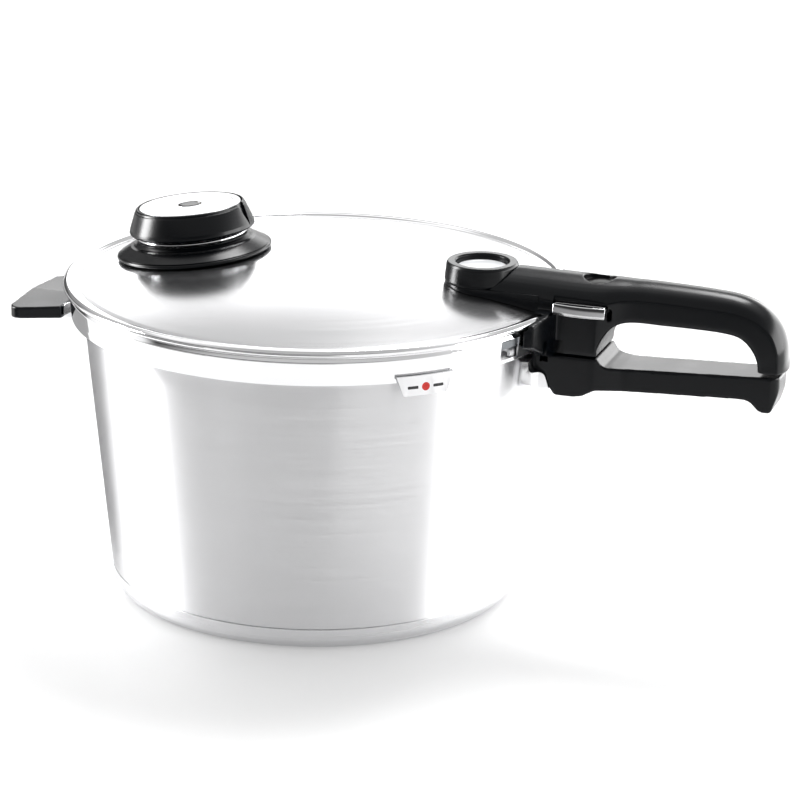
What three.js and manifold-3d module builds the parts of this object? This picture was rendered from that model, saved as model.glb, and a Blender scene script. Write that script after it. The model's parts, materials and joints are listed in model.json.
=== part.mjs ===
// Stovetop pressure cooker, 26 cm class, about 8 litres.
// Millimetres, +Z up. Origin: centre of the base underside. +X runs along the long handles.
import * as THREE from 'three';
import { mergeVertices } from 'three/addons/utils/BufferGeometryUtils.js';
import Module from 'manifold-3d';

const wasm = await Module();
wasm.setup();

// ---------------------------------------------------------------- driving dimensions
const GAP = 0.3;                    // clearance between pieces that touch
const FINE = 40;                    // facets round the pot and lid
const MEDIUM = 28;                  // facets round the valve
const COARSE = 20;                  // facets round knobs and discs
const SMALL = 10;                   // facets round screws and pins

const BASE_R = 117.2;               // capsule base, outer radius
const BASE_H = 11.8;                // height of its rim above the hob
const FOOT_R = 117.3;               // pot wall where it leaves the base
const FOOT_Z = 12.3;
const WALL_R = 131.5;               // pot wall where the satin cone ends
const WALL_Z = 155;
const FLOOR_Z = 9.6;                // underside of the pot floor
const RIM_Z = 164.8;                // top of the pot rim
const MOUTH_R = 130.6;              // clear radius of the mouth, 26 cm across
const LUG_R = 137.4;                // bayonet lugs on the pot rim
const LUG_COUNT = 4;
const LUG_SPAN = 42;                // degrees covered by each lug and each lid claw

const LID_R = 143.1;                // widest radius, at the rolled edge
const SKIRT_R = 140;
const SKIRT_Z = 158.4;              // lower edge of the skirt
const LID_WALL = 1.3;
const DOME_TOP = 190.5;
const DOME_R = 700;                 // spherical radius of the lid

const PART_Z = 155.3;               // the lid handle ends here and the pot handle lies below
const BOX_HALF = 20;                // half width of both handles at their roots
const GRIP_HALF = 13.3;             // half width of the grips
const NOSE_X = 96.6;                // centre of the ring on the lid handle's nose
const NOSE_R = 21;
const NOSE_SEAM = 187.3;            // handle shell meets its foot piece here
const NOSE_DISC = { r: 14, z0: 194.1, z1: 195.1 };
const WINDOW = { x: 164, r: 8.3, z0: 192.9, z1: 193.8 };
const MARK_ANGLE = -46;             // closing mark on the lid, degrees from the handle

const VALVE_X = -75;
const VENT_X = 92;
const STUD_X = 113;

const BRACKET = { x1: 158, half: 8, z0: 139.6, z1: 143.6, flangeHalf: 14, flangeX: 133.4 };
const POT_SCREW_X = 151;
const GUARD = { half: 28, z0: 135.6, z1: 151.2, corner: 7 };

const HELPER = { x: -177, half: 38.5, rootX: -147, rootHalf: 26, z0: 144.8, z1: 151.2, ridge: 153 };
const NECK_HALF = 22.4;             // the part of the helper handle between its bracket's cheeks
const TONGUE = { x: -160, half: 18, z0: 148, z1: 149.6 };
const CHEEK = { x: -146, half: 25, z0: 145.6, z1: 156 };
const HELPER_SCREW_X = -152;

const TAB = { r: SKIRT_R + 0.4, thick: 0.9, z0: 151.4, z1: 161.1, topSpan: 13.6, bottomSpan: 10.6 };
const DOT_R = 2.3;
const DOT_Z = 156;

const BAY = { x0: 147, x1: 164.6, half: 15, upperX1: 175.4, upperHalf: 17.4, shelf: 176.6, roof: 189.6 };
const BUTTON = { x0: 143.8, x1: 173.2, z0: 178.9, z1: 184.7, out: 25, in: 18.6, travel: 4 };
const SLIDER = { x0: 147.6, x1: 172.6, back: 12.6, z0: 180.4, z1: 182.6 };
const FLAG = { x0: 158, x1: 170, half: 6.6, z0: 187.9, z1: 188.7 };
const COVER = { z0: PART_Z, z1: 157.6 };
const BOLT_X = 154;
const BOLT_R = 3;

const CROWN = { z0: 12.2, z1: 26.9, r: 35.8, topR: 31.3, plateR: 29.5, hole: 6.6 };
const BAND_COLOURS = ['yellow', 'green', 'red'];
const BAND_HEIGHT = 1.7;

const COLOUR = {
  satin: { color: 0xc9cacb, roughness: 0.38, metalness: 1 },
  polished: { color: 0xdfe0e2, roughness: 0.12, metalness: 1 },
  aluminium: { color: 0xb4b6b8, roughness: 0.5, metalness: 1 },
  zinc: { color: 0x9c9ea0, roughness: 0.35, metalness: 1 },
  black: { color: 0x14181d, roughness: 0.42, metalness: 0 },
  gloss: { color: 0x08090b, roughness: 0.12, metalness: 0 },
  white: { color: 0xe9eaec, roughness: 0.35, metalness: 0 },
  silicone: { color: 0x9aa0a4, roughness: 0.7, metalness: 0 },
  red: { color: 0xd8261c, roughness: 0.4, metalness: 0 },
  green: { color: 0x2f9a3c, roughness: 0.45, metalness: 0 },
  yellow: { color: 0xe8b81e, roughness: 0.45, metalness: 0 },
};

// ---------------------------------------------------------------- solids
const radians = THREE.MathUtils.degToRad;

function solid(geometry) {
  // one closed body from any closed geometry, with its faces turned outward
  const plain = new THREE.BufferGeometry();
  plain.setAttribute('position', geometry.getAttribute('position').clone());
  if (geometry.index) plain.setIndex(geometry.index.clone());
  const merged = mergeVertices(plain, 1e-4);
  const position = merged.getAttribute('position');
  const index = merged.index.array;
  const corner = [new THREE.Vector3(), new THREE.Vector3(), new THREE.Vector3()];
  const triangles = [];
  let volume = 0;
  for (let i = 0; i < index.length; i += 3) {
    const [a, b, c] = [index[i], index[i + 1], index[i + 2]];
    if (a === b || b === c || c === a) continue;
    triangles.push([a, b, c]);
    [a, b, c].forEach((vertex, k) => corner[k].fromBufferAttribute(position, vertex));
    volume += corner[0].dot(corner[1].clone().cross(corner[2]));
  }
  const outward = volume > 0 ? triangles : triangles.map(([a, b, c]) => [a, c, b]);
  return new wasm.Manifold(new wasm.Mesh({
    numProp: 3,
    vertProperties: new Float32Array(position.array),
    triVerts: new Uint32Array(outward.flat()),
  }));
}

const join = (first, ...others) => others.reduce((sum, other) => sum.add(other), first);
const cut = (first, ...others) => others.reduce((rest, other) => rest.subtract(other), first);
const common = (first, ...others) => others.reduce((rest, other) => rest.intersect(other), first);

function place(geometry, x = 0, y = 0, z = 0) {
  return solid(geometry.translate(x, y, z));
}

function turned(profile, facets = COARSE) {
  // profile of [radius, z] points, turned about Z
  const points = profile.map(([r, z]) => new THREE.Vector2(r, z));
  return solid(new THREE.LatheGeometry(points, facets).rotateX(Math.PI / 2));
}

function ring(rIn, rOut, z0, z1, facets = COARSE) {
  return turned([[rIn, z0], [rOut, z0], [rOut, z1], [rIn, z1], [rIn, z0]], facets);
}

function disc(r, z0, z1, facets = COARSE) {
  return turned([[0, z0], [r, z0], [r, z1], [0, z1]], facets);
}

function discAt(x, y, r, z0, z1, facets = COARSE) {
  return disc(r, z0, z1, facets).translate([x, y, 0]);
}

function box(x0, x1, y0, y1, z0, z1) {
  const geometry = new THREE.BoxGeometry(x1 - x0, y1 - y0, z1 - z0);
  return place(geometry, (x0 + x1) / 2, (y0 + y1) / 2, (z0 + z1) / 2);
}

function outline(points) {
  return new THREE.Shape(points.map(([x, y]) => new THREE.Vector2(x, y)));
}

function plan(shape, z0, z1, curveSegments = 8) {
  // a plan shape in X and Y, raised from z0 to z1
  const options = { depth: z1 - z0, bevelEnabled: false, curveSegments };
  return place(new THREE.ExtrudeGeometry(shape, options), 0, 0, z0);
}

function slab(shape, half, round = 0, curveSegments = 6) {
  // a side shape in X and Z, drawn out to y = -half and +half, with its edges rounded
  const options = {
    depth: 2 * (half - round),
    curveSegments,
    bevelEnabled: round > 0,
    bevelThickness: round,
    bevelSize: round,
    bevelOffset: -round,
    bevelSegments: 2,
  };
  return place(new THREE.ExtrudeGeometry(shape, options).rotateX(Math.PI / 2), 0, half - round, 0);
}

function sector(rIn, rOut, z0, z1, middle, span, steps = 8) {
  // part of a ring, middle and span in degrees
  const start = radians(middle - span / 2);
  const end = radians(middle + span / 2);
  const arc = (r, from, to) => Array.from({ length: steps + 1 }, (_, i) => {
    const angle = from + ((to - from) * i) / steps;
    return [r * Math.cos(angle), r * Math.sin(angle)];
  });
  return plan(outline([...arc(rOut, start, end), ...arc(rIn, end, start)]), z0, z1);
}

function helix(radius, wire, z0, z1, turns) {
  // a compression spring with plain ends
  class Coil extends THREE.Curve {
    getPoint(t, target = new THREE.Vector3()) {
      const angle = 2 * Math.PI * turns * t;
      return target.set(radius * Math.cos(angle), radius * Math.sin(angle), z0 + (z1 - z0) * t);
    }
  }
  const section = new THREE.Shape().absarc(0, 0, wire / 2, 0, 2 * Math.PI);
  const options = { steps: 10 * turns, extrudePath: new Coil(), curveSegments: 3 };
  return solid(new THREE.ExtrudeGeometry(section, options));
}

// ---------------------------------------------------------------- scene graph
const cooker = new THREE.Group();

function group(parent, x = 0, z = 0, tilt = 0) {
  const made = new THREE.Group();
  made.position.set(x, 0, z);
  made.rotation.y = tilt;
  parent.add(made);
  return made;
}

function piece(parent, name, body, look) {
  const { vertProperties, triVerts } = body.getMesh();
  const geometry = new THREE.BufferGeometry();
  geometry.setAttribute('position', new THREE.BufferAttribute(vertProperties, 3));
  geometry.setIndex(new THREE.BufferAttribute(triVerts, 1));
  const mesh = new THREE.Mesh(geometry, new THREE.MeshStandardMaterial({ ...look }));
  mesh.name = name;
  parent.add(mesh);
}

// ---------------------------------------------------------------- shared surfaces
const domeZ = (r) => DOME_TOP - (r * r) / (2 * DOME_R);
const coneR = (z) => FOOT_R + ((WALL_R - FOOT_R) * (z - FOOT_Z)) / (WALL_Z - FOOT_Z);
const DOME_STEPS = [0, 45, 85, 112, 134];

function coneKeepOut() {
  // the pot wall grown by the clearance, to shape what is fixed to it
  return disc(1, 100, 101).add(turned([
    [0, 100], [coneR(100) + GAP, 100], [WALL_R + GAP, WALL_Z], [WALL_R + GAP, 170], [0, 170],
  ], FINE));
}

function lidKeepOut() {
  // everything the lid fills or covers, grown by the clearance
  const dome = DOME_STEPS.map((r) => [r, domeZ(r) + GAP]).reverse();
  return turned([
    [0, 150], [SKIRT_R + GAP + 0.1, 150], [SKIRT_R + GAP + 0.1, 173.8], [LID_R + GAP, 174.8],
    [LID_R + GAP, 178.6], [142, 179.4], [136.6, 179.4], ...dome,
  ], FINE);
}

// ---------------------------------------------------------------- pot
function baseCap() {
  return turned([
    [0, 0], [113.7, 0], [116.2, 1.6], [BASE_R, 4.5], [BASE_R, BASE_H], [BASE_R - 1, BASE_H],
    [BASE_R - 1, 4.9], [115.3, 2.6], [113.3, 1], [0, 1],
  ], FINE);
}

function baseCore() {
  return turned([[0, 1.3], [112.8, 1.3], [114.6, 3], [115.4, 5.2], [115.4, 9.3], [0, 9.3]], FINE);
}

function potBody() {
  const floorTop = FLOOR_Z + 1.3;
  const body = turned([
    [0, FLOOR_Z], [113.4, FLOOR_Z], [115.8, 11.8], [FOOT_R, FOOT_Z], [WALL_R, WALL_Z],
    [132, 157.5], [132, 162.9], [135.8, 163], [135.9, 160.7], [LUG_R, 160.7], [LUG_R, 164],
    [136.6, RIM_Z], [132, RIM_Z], [MOUTH_R, 163.6], [MOUTH_R, 156.5], [130.2, WALL_Z],
    [116.3, 14.2], [113, floorTop], [0, floorTop],
  ], FINE);
  const gaps = Array.from({ length: LUG_COUNT }, (_, i) => sector(
    133, 139, 160, 166, (360 * (i + 0.5)) / LUG_COUNT, 360 / LUG_COUNT - LUG_SPAN,
  ));
  return cut(body, ...gaps);
}

function bracketShape(grow) {
  const b = BRACKET;
  return join(
    box(125, b.x1 + grow, -b.half - grow, b.half + grow, b.z0 - grow, b.z1 + grow),
    box(125, b.flangeX + grow, -b.flangeHalf - grow, b.flangeHalf + grow, 138.4 - grow, 149.6 + grow),
  );
}

function potHandleBracket() {
  const hole = discAt(POT_SCREW_X, 0, 2.6, 130, 150, SMALL);
  return cut(bracketShape(0), coneKeepOut(), hole);
}

function rootCurve(offset) {
  // where the chrome guard ends and the black handle root begins, seen from the side
  const shape = new THREE.Shape();
  shape.moveTo(132.6 + offset, 160);
  shape.lineTo(132.7 + offset, 150.6);
  shape.bezierCurveTo(132.9 + offset, 144.2, 137 + offset, 145.6, 139 + offset, 144.6);
  shape.bezierCurveTo(141.2 + offset, 143.2, 141.2 + offset, 137.6, 143.6 + offset, 134.6);
  shape.lineTo(146 + offset, 130);
  shape.lineTo(400, 130);
  shape.lineTo(400, 160);
  return shape;
}

function flameGuard() {
  const g = GUARD;
  const sides = [
    [120, -g.half], [133.5, -g.half + 0.6], [136.6, -23.6], [140.4, -BOX_HALF], [146, -BOX_HALF],
  ];
  const across = outline([...sides, ...sides.map(([x, y]) => [x, -y]).reverse()]);
  const section = new THREE.Shape();
  section.moveTo(-g.half, g.z1);
  section.lineTo(-g.half, g.z0 + g.corner);
  section.quadraticCurveTo(-g.half, g.z0, -g.half + g.corner, g.z0);
  section.lineTo(g.half - g.corner, g.z0);
  section.quadraticCurveTo(g.half, g.z0, g.half, g.z0 + g.corner);
  section.lineTo(g.half, g.z1);
  const along = solid(new THREE.ExtrudeGeometry(section, { depth: 40, bevelEnabled: false })
    .rotateX(Math.PI / 2).rotateZ(Math.PI / 2).translate(115, 0, 0));
  return cut(
    common(plan(across, 130, 156), along),
    coneKeepOut(), slab(rootCurve(-GAP), 60), bracketShape(GAP),
    ring(138.2, 148, 150.5, 158, FINE),
  );
}

function potGripShape() {
  const shape = new THREE.Shape();
  shape.moveTo(150, 154.8);
  shape.lineTo(168.2, 154.8);
  shape.quadraticCurveTo(171.6, 150.6, 178, 150.1);
  shape.lineTo(250, 152.6);
  shape.lineTo(269, 153);
  shape.quadraticCurveTo(268.6, 141.5, 265.6, 134.6);
  shape.quadraticCurveTo(264.4, 132.9, 260.6, 133.2);
  shape.quadraticCurveTo(256.4, 135.2, 253.4, 137.8);
  shape.quadraticCurveTo(250.8, 139.8, 246.5, 139.8);
  shape.lineTo(187, 137.1);
  shape.lineTo(150, 136.4);
  return shape;
}

function potRootShape() {
  const shape = new THREE.Shape();
  shape.moveTo(126, 154.8);
  shape.lineTo(168.2, 154.8);
  shape.quadraticCurveTo(172, 150.8, 178, 150.1);
  shape.lineTo(190, 150.3);
  shape.lineTo(190, 137.4);
  shape.lineTo(170, 137.3);
  shape.quadraticCurveTo(165.6, 137, 163.6, 134.8);
  shape.quadraticCurveTo(161.8, 132.4, 158.4, 132.4);
  shape.lineTo(150, 132.4);
  shape.quadraticCurveTo(142, 132.4, 138, 134.4);
  shape.lineTo(126, 140);
  return shape;
}

function handlePlan(nearX, endX) {
  // seen from above: full width at the root, waisted to the grip, round at the far end
  const shape = new THREE.Shape();
  shape.moveTo(nearX, -BOX_HALF);
  shape.lineTo(164, -BOX_HALF);
  shape.bezierCurveTo(174, -BOX_HALF, 176, -GRIP_HALF - 0.8, 190, -GRIP_HALF - 0.4);
  shape.lineTo(endX - 12, -GRIP_HALF + 0.6);
  shape.quadraticCurveTo(endX, -GRIP_HALF + 0.8, endX, -2);
  shape.lineTo(endX, 2);
  shape.quadraticCurveTo(endX, GRIP_HALF - 0.8, endX - 12, GRIP_HALF - 0.6);
  shape.lineTo(190, GRIP_HALF + 0.4);
  shape.bezierCurveTo(176, GRIP_HALF + 0.8, 174, BOX_HALF, 164, BOX_HALF);
  shape.lineTo(nearX, BOX_HALF);
  return shape;
}

function potHandle() {
  const grip = slab(potGripShape(), GRIP_HALF + 0.6, 2);
  const root = common(slab(potRootShape(), BOX_HALF, 2), slab(rootCurve(0), 60));
  const tabGroove = ring(138.2, 142.8, 150.5, 158, FINE);
  const counterbore = discAt(POT_SCREW_X, 0, 5, 130, 136.3, SMALL);
  const pilot = discAt(POT_SCREW_X, 0, 2.5, 130, 147.6, SMALL);
  return cut(
    common(join(grip, root), plan(handlePlan(120, 269), 125, 158)),
    coneKeepOut(), bracketShape(GAP), tabGroove, counterbore, pilot,
  );
}

function potHandleScrew() {
  return turned([[0, 133.2], [4.6, 133.2], [4.6, 135.9], [2.2, 135.9], [2.2, 147], [0, 147]], SMALL)
    .translate([POT_SCREW_X, 0, 0]);
}

function helperHandle() {
  // a short wide grip, highest along its middle, whose neck fits between the bracket's cheeks
  const h = HELPER;
  const shape = new THREE.Shape();
  shape.moveTo(h.rootX, -h.rootHalf);
  shape.lineTo(h.x + 8, -h.half);
  shape.quadraticCurveTo(h.x + 1, -h.half, h.x + 1, -h.half + 9);
  shape.quadraticCurveTo(h.x - 1, 0, h.x + 1, h.half - 9);
  shape.quadraticCurveTo(h.x + 1, h.half, h.x + 8, h.half);
  shape.lineTo(h.rootX, h.rootHalf);
  const section = outline([
    [-60, h.z0], [60, h.z0], [60, 150.4], [h.half, h.z1], [0, h.ridge], [-h.half, h.z1], [-60, 150.4],
  ]);
  const crowned = solid(new THREE.ExtrudeGeometry(section, { depth: 60, bevelEnabled: false })
    .rotateX(Math.PI / 2).rotateZ(Math.PI / 2).translate(-185, 0, 0));
  const neck = box(h.rootX - 1, -120, -NECK_HALF, NECK_HALF, h.z0 + 0.8, h.z1);
  return cut(
    join(common(plan(shape, 140, 160), crowned), neck),
    disc(WALL_R + 3.6, 130, 160, FINE),
    box(TONGUE.x - GAP, -120, -TONGUE.half - GAP, TONGUE.half + GAP, TONGUE.z0 - GAP, TONGUE.z1 + GAP),
    discAt(HELPER_SCREW_X, 0, 4.3, 140, 146.4, SMALL),
    discAt(HELPER_SCREW_X, 0, 2.3, 140, 151.3, SMALL),
  );
}

function helperBracket() {
  // a plate on the pot wall with a cheek on each side and a tongue into the handle
  const cheek = (side) => {
    const [y0, y1] = [side * CHEEK.half, side * (CHEEK.half - 1.6)].sort((first, last) => first - last);
    return box(CHEEK.x, -120, y0, y1, CHEEK.z0, CHEEK.z1);
  };
  const plate = common(
    box(-140, -120, -CHEEK.half, CHEEK.half, 138, CHEEK.z1), disc(WALL_R + 2.4, 130, 160, FINE),
  );
  return cut(
    join(plate, cheek(1), cheek(-1),
      box(TONGUE.x, -120, -TONGUE.half, TONGUE.half, TONGUE.z0, TONGUE.z1)),
    coneKeepOut(),
    discAt(HELPER_SCREW_X, 0, 2.3, 140, 160, SMALL),
  );
}

function helperScrew() {
  return turned([[0, 145], [3.9, 145], [3.9, 146.1], [1.9, 146.1], [1.9, 151], [0, 151]], SMALL)
    .translate([HELPER_SCREW_X, 0, 0]);
}

// ---------------------------------------------------------------- lid
function onDome(parent, x) {
  // a group whose Z axis stands square to the lid at x
  return group(parent, x, domeZ(x), Math.asin(x / DOME_R));
}

function squareHole(x, r) {
  // a hole through the lid, square to the dome at x
  return disc(r, -20, 20, SMALL).rotate([0, THREE.MathUtils.radToDeg(Math.asin(x / DOME_R)), 0])
    .translate([x, 0, domeZ(x)]);
}

function lidShell() {
  const outside = DOME_STEPS.map((r) => [r, domeZ(r)]);
  const inside = DOME_STEPS.map((r) => [r, domeZ(r) - LID_WALL]).reverse();
  const clawTop = SKIRT_Z + 1.4;
  const shell = turned([
    ...outside, [136.4, 176.6], [137.6, 178.2], [139.4, 179], [141.6, 178.9], [142.8, 177.9],
    [LID_R, 176.6], [142.4, 175.5], [139.2, 174.9], [139, 168], [139.9, 163], [SKIRT_R, SKIRT_Z],
    [133.6, SKIRT_Z], [133.6, clawTop], [138.7, clawTop], [138.7, 163], [137.8, 168],
    [137.8, 173.4], [135.4, 175.1], ...inside,
  ], FINE);
  const gaps = Array.from({ length: LUG_COUNT }, (_, i) => sector(
    132, 138.7, 157, clawTop + 1, (360 * (i + 0.5)) / LUG_COUNT, 360 / LUG_COUNT - LUG_SPAN,
  ));
  const sideWindow = sector(137, 142, 160.4, 171.2, -22, 6.2, 3);
  const markSlot = sector(137, 142, 161.4, 162.6, MARK_ANGLE, 14);
  return cut(
    shell, ...gaps, sideWindow, markSlot,
    squareHole(VALVE_X, 9.2), squareHole(VENT_X, 5.6), squareHole(STUD_X, 3.5),
  );
}

function lidGasket() {
  const z = RIM_Z + GAP;
  return turned([
    [136.9, z], [131.2, z], [129, z + 2.2], [134, z + 3.4], [134, z + 5.9], [128.4, z + 7.4],
    [128.8, z + 9], [135.2, z + 9], [136.9, z + 7.6], [136.9, z],
  ], FINE);
}

function dotAt(r0, r1, radius) {
  return solid(new THREE.CylinderGeometry(radius, radius, r1 - r0, COARSE)
    .rotateZ(Math.PI / 2).translate((r0 + r1) / 2, 0, DOT_Z).rotateZ(radians(MARK_ANGLE)));
}

function positionTab() {
  // a plate hooked through the slot in the skirt, hanging against its outside
  const plate = sector(TAB.r, TAB.r + TAB.thick, TAB.z0, TAB.z1, 0, TAB.topSpan, 10);
  const edge = (span) => TAB.r * Math.sin(radians(span / 2));
  const trapezium = outline([
    [-edge(TAB.bottomSpan), TAB.z0 - 1], [edge(TAB.bottomSpan), TAB.z0 - 1],
    [edge(TAB.topSpan) + 1, TAB.z1 + 1], [-edge(TAB.topSpan) - 1, TAB.z1 + 1],
  ]);
  const face = solid(new THREE.ExtrudeGeometry(trapezium, { depth: 40, bevelEnabled: false })
    .rotateX(Math.PI / 2).rotateZ(Math.PI / 2).translate(120, 0, 0));
  const hook = sector(138.2, TAB.r + TAB.thick, TAB.z1 + 0.6, TAB.z1 + 1.2, 0, TAB.topSpan - 1, 10);
  const bend = sector(TAB.r, TAB.r + TAB.thick, TAB.z1 - 0.2, TAB.z1 + 1.2, 0, TAB.topSpan - 1, 10);
  return cut(
    join(common(plate, face), bend, hook).rotate([0, 0, MARK_ANGLE]),
    dotAt(130, 150, DOT_R + 0.2),
  );
}

function lidGripShape() {
  const shape = new THREE.Shape();
  shape.moveTo(120, 197.6);
  shape.lineTo(150, 196.7);
  shape.lineTo(238, 193.7);
  shape.bezierCurveTo(256, 192.8, 271.6, 181, 271.6, 163);
  shape.lineTo(270.6, PART_Z);
  shape.lineTo(256.6, PART_Z);
  shape.bezierCurveTo(256.6, 168.5, 250, 176.2, 236, 176.2);
  shape.lineTo(189, 176.2);
  shape.bezierCurveTo(177, 176.2, 168.4, 166, 167.6, PART_Z);
  shape.lineTo(120, PART_Z);
  return shape;
}

function lidBoxShape() {
  const shape = new THREE.Shape();
  shape.moveTo(112, 197.6);
  shape.lineTo(150, 196.8);
  shape.lineTo(176, 195.4);
  shape.lineTo(192, 190.8);
  shape.lineTo(192, 176.2);
  shape.lineTo(189, 176.2);
  shape.bezierCurveTo(177, 176.2, 168.4, 166, 167.6, PART_Z);
  shape.lineTo(112, PART_Z);
  return shape;
}

function wing() {
  // the crescent that hugs the lid edge on both sides of the handle
  const crescent = sector(136, 147, PART_Z, 180.4, 0, 36, 12);
  const rising = [[24, PART_Z - 1], [46, 165.5], [60, 172], [60, 150], [24, 150]];
  const falling = [[20, 181], [48, 178.4], [60, 178.4], [60, 190], [20, 190]];
  const wedge = (points, side) => solid(
    new THREE.ExtrudeGeometry(outline(points.map(([y, z]) => [side * y, z])), {
      depth: 60, bevelEnabled: false,
    }).rotateX(Math.PI / 2).rotateZ(Math.PI / 2).translate(100, 0, 0),
  );
  return cut(
    crescent, wedge(rising, 1), wedge(rising, -1), wedge(falling, 1), wedge(falling, -1),
    sector(145.4, 149, PART_Z - 1, 166, -13, 1.5, 1), sector(145.4, 149, PART_Z - 1, 166, 13, 1.5, 1),
  );
}

function lidHandle() {
  const taper = plan(handlePlan(90, 272), 150, 202);
  const grip = common(slab(lidGripShape(), GRIP_HALF + 0.6, 4), taper);
  const housing = common(slab(lidBoxShape(), BOX_HALF, 4), taper);
  const nose = turned([
    [0, NOSE_SEAM], [NOSE_R - 0.3, NOSE_SEAM], [NOSE_R, 188], [20.2, 196.6], [19.2, 198.4],
    [0, 198.4],
  ]).translate([NOSE_X, 0, 0]);
  const bridge = plan(outline([
    [NOSE_X, -19.4], [128, -18.6], [128, 18.6], [NOSE_X, 19.4],
  ]), NOSE_SEAM, 197.2);
  const b = BUTTON;
  const outside = join(grip, housing, wing(), nose, bridge);
  return cut(
    outside, lidKeepOut(), box(60, 136, -30, 30, 150, NOSE_SEAM),
    box(BAY.x0, BAY.x1, -BAY.half, BAY.half, 150, BAY.shelf + 0.1),
    box(BAY.x0, BAY.upperX1, -BAY.upperHalf, BAY.upperHalf, BAY.shelf, BAY.roof),
    box(b.x0 - GAP, b.x1 + GAP, -30, -b.in + b.travel + GAP, b.z0 - GAP, b.z1 + GAP),
    box(145.2, 150.2, -30, -16.8, 150, 164),
    discAt(NOSE_X, 0, NOSE_DISC.r + GAP, NOSE_DISC.z0 - GAP, 200),
    discAt(NOSE_X, 0, 12, 180, 194),
    discAt(WINDOW.x, 0, WINDOW.r + GAP, WINDOW.z0 - GAP, 202),
    discAt(WINDOW.x, 0, 6, 180, 195),
  );
}

function lidHandleFoot() {
  // carries the handle nose and fills the space down to the dome
  const shape = new THREE.Shape();
  shape.moveTo(134.6, -18.4);
  shape.lineTo(NOSE_X, -20.9);
  shape.absarc(NOSE_X, 0, 20.9, -Math.PI / 2, Math.PI / 2, true);
  shape.lineTo(134.6, 18.4);
  return cut(
    plan(shape, 170, NOSE_SEAM - GAP, 16), lidKeepOut(),
    discAt(NOSE_X - 1.4, 0, 12, 170, 190), squareHole(STUD_X, 3.4),
  );
}

function lidHandleCover() {
  // closes the mechanism bay from below, with a hole for the lock bolt
  return cut(
    box(BAY.x0 + GAP, BAY.x1 - GAP, -BAY.half + GAP, BAY.half - GAP, COVER.z0, COVER.z1),
    discAt(BOLT_X, 0, BOLT_R + 0.4, 150, 160, SMALL),
  );
}

function lockBolt() {
  // sprung pin that locks the two handles together, with a collar for its spring
  return turned([
    [0, PART_Z + 0.1], [BOLT_R - 0.8, PART_Z + 0.1], [BOLT_R, PART_Z + 1], [BOLT_R, 164],
    [5.6, 164], [5.6, 166], [2.4, 166], [2.4, 176], [0, 176],
  ], SMALL).translate([BOLT_X, 0, 0]);
}

function lockGuide() {
  // the fixed shelf above the bolt spring
  return cut(
    box(BAY.x0 + GAP, BAY.x1 - GAP, -BAY.half + GAP, BAY.half - GAP, 174, 176.2),
    discAt(BOLT_X, 0, 2.8, 170, 180, SMALL),
  );
}

function buttonSlider() {
  // the plate behind the button, with a post that carries the flag up to the window
  const s = SLIDER;
  return join(
    box(s.x0, s.x1, -BUTTON.in + GAP, s.back, s.z0, s.z1),
    box(FLAG.x0 + 1, FLAG.x1 - 1, -5, 5, s.z1 - 0.1, FLAG.z0 - GAP),
  );
}

function buttonCap() {
  const b = BUTTON;
  const shape = new THREE.Shape();
  shape.moveTo(b.x0, -b.in);
  shape.lineTo(b.x0, -b.out + 1.8);
  shape.quadraticCurveTo((b.x0 + b.x1) / 2, -b.out - 1.6, b.x1, -b.out + 1.8);
  shape.lineTo(b.x1, -b.in);
  return plan(shape, b.z0, b.z1 - 1.1, 8);
}

function buttonPlate() {
  const b = BUTTON;
  const shape = new THREE.Shape();
  shape.moveTo(b.x0 + 0.8, -b.in);
  shape.lineTo(b.x0 + 0.8, -b.out + 2.6);
  shape.quadraticCurveTo((b.x0 + b.x1) / 2, -b.out - 0.6, b.x1 - 0.8, -b.out + 2.6);
  shape.lineTo(b.x1 - 0.8, -b.in);
  return plan(shape, b.z1 - 0.8, b.z1, 8);
}

function lockFlag() {
  // two-colour flag seen through the window in the handle
  return box(FLAG.x0, FLAG.x1, -FLAG.half, FLAG.half, FLAG.z0, FLAG.z1);
}

// ---------------------------------------------------------------- parts square to the dome
function ventSeal() {
  return turned([
    [4, -3], [7.4, -3], [7.4, -1.8], [5.3, -1.7], [5.3, 0.4], [7.4, 0.5], [7.2, 1.5], [4, 1.5], [4, -3],
  ], SMALL);
}

function ventPin() {
  return turned([
    [0, -8.6], [6.2, -8.6], [6.5, -6.7], [3.6, -6.4], [3.6, 3.2], [4.8, 3.2], [4.8, 4.4], [0, 4.8],
  ], SMALL);
}

function handleStud() {
  return turned([[0, -12.5], [3, -12.5], [3, 4.8], [0, 4.8]], SMALL);
}

function handleNut() {
  const wheel = cut(ring(3.3, 10, -9, -2.3, SMALL), ring(8.6, 12, -10, -6.4, SMALL));
  const grips = Array.from({ length: 8 }, (_, i) => {
    const angle = (2 * Math.PI * i) / 8;
    return discAt(10.8 * Math.cos(angle), 10.8 * Math.sin(angle), 2, -10, -1, 8);
  });
  return cut(wheel, ...grips);
}

// ---------------------------------------------------------------- valve, in its own frame
function valveBase() {
  return turned([
    [8.8, 0.35], [28, -0.2], [38, -0.65], [43.5, -0.4], [44.2, 0.3], [43.9, 1.3], [35.4, 6.3],
    [33.4, 6.7], [31.2, 8.6], [29, 8.6], [28.2, 2.2], [8.8, 2.2], [8.8, 0.35],
  ], MEDIUM);
}

function valveTrim() {
  return turned([[29.2, 9], [32.2, 9], [32.8, 10.2], [32, 11.4], [29.2, 11.4], [29.2, 9]], MEDIUM);
}

function valveHousing() {
  return turned([
    [5.4, -14], [8.5, -14], [8.5, 2.5], [20, 2.5], [28, 4], [28, 8.2], [26.6, 8.2], [26.4, 5.2],
    [19.6, 4.2], [8.5, 4.2], [8.5, 12], [5.4, 12], [5.4, -14],
  ]);
}

function valveWasher() {
  return ring(8.8, 14, -3.4, -1.8);
}

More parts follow.
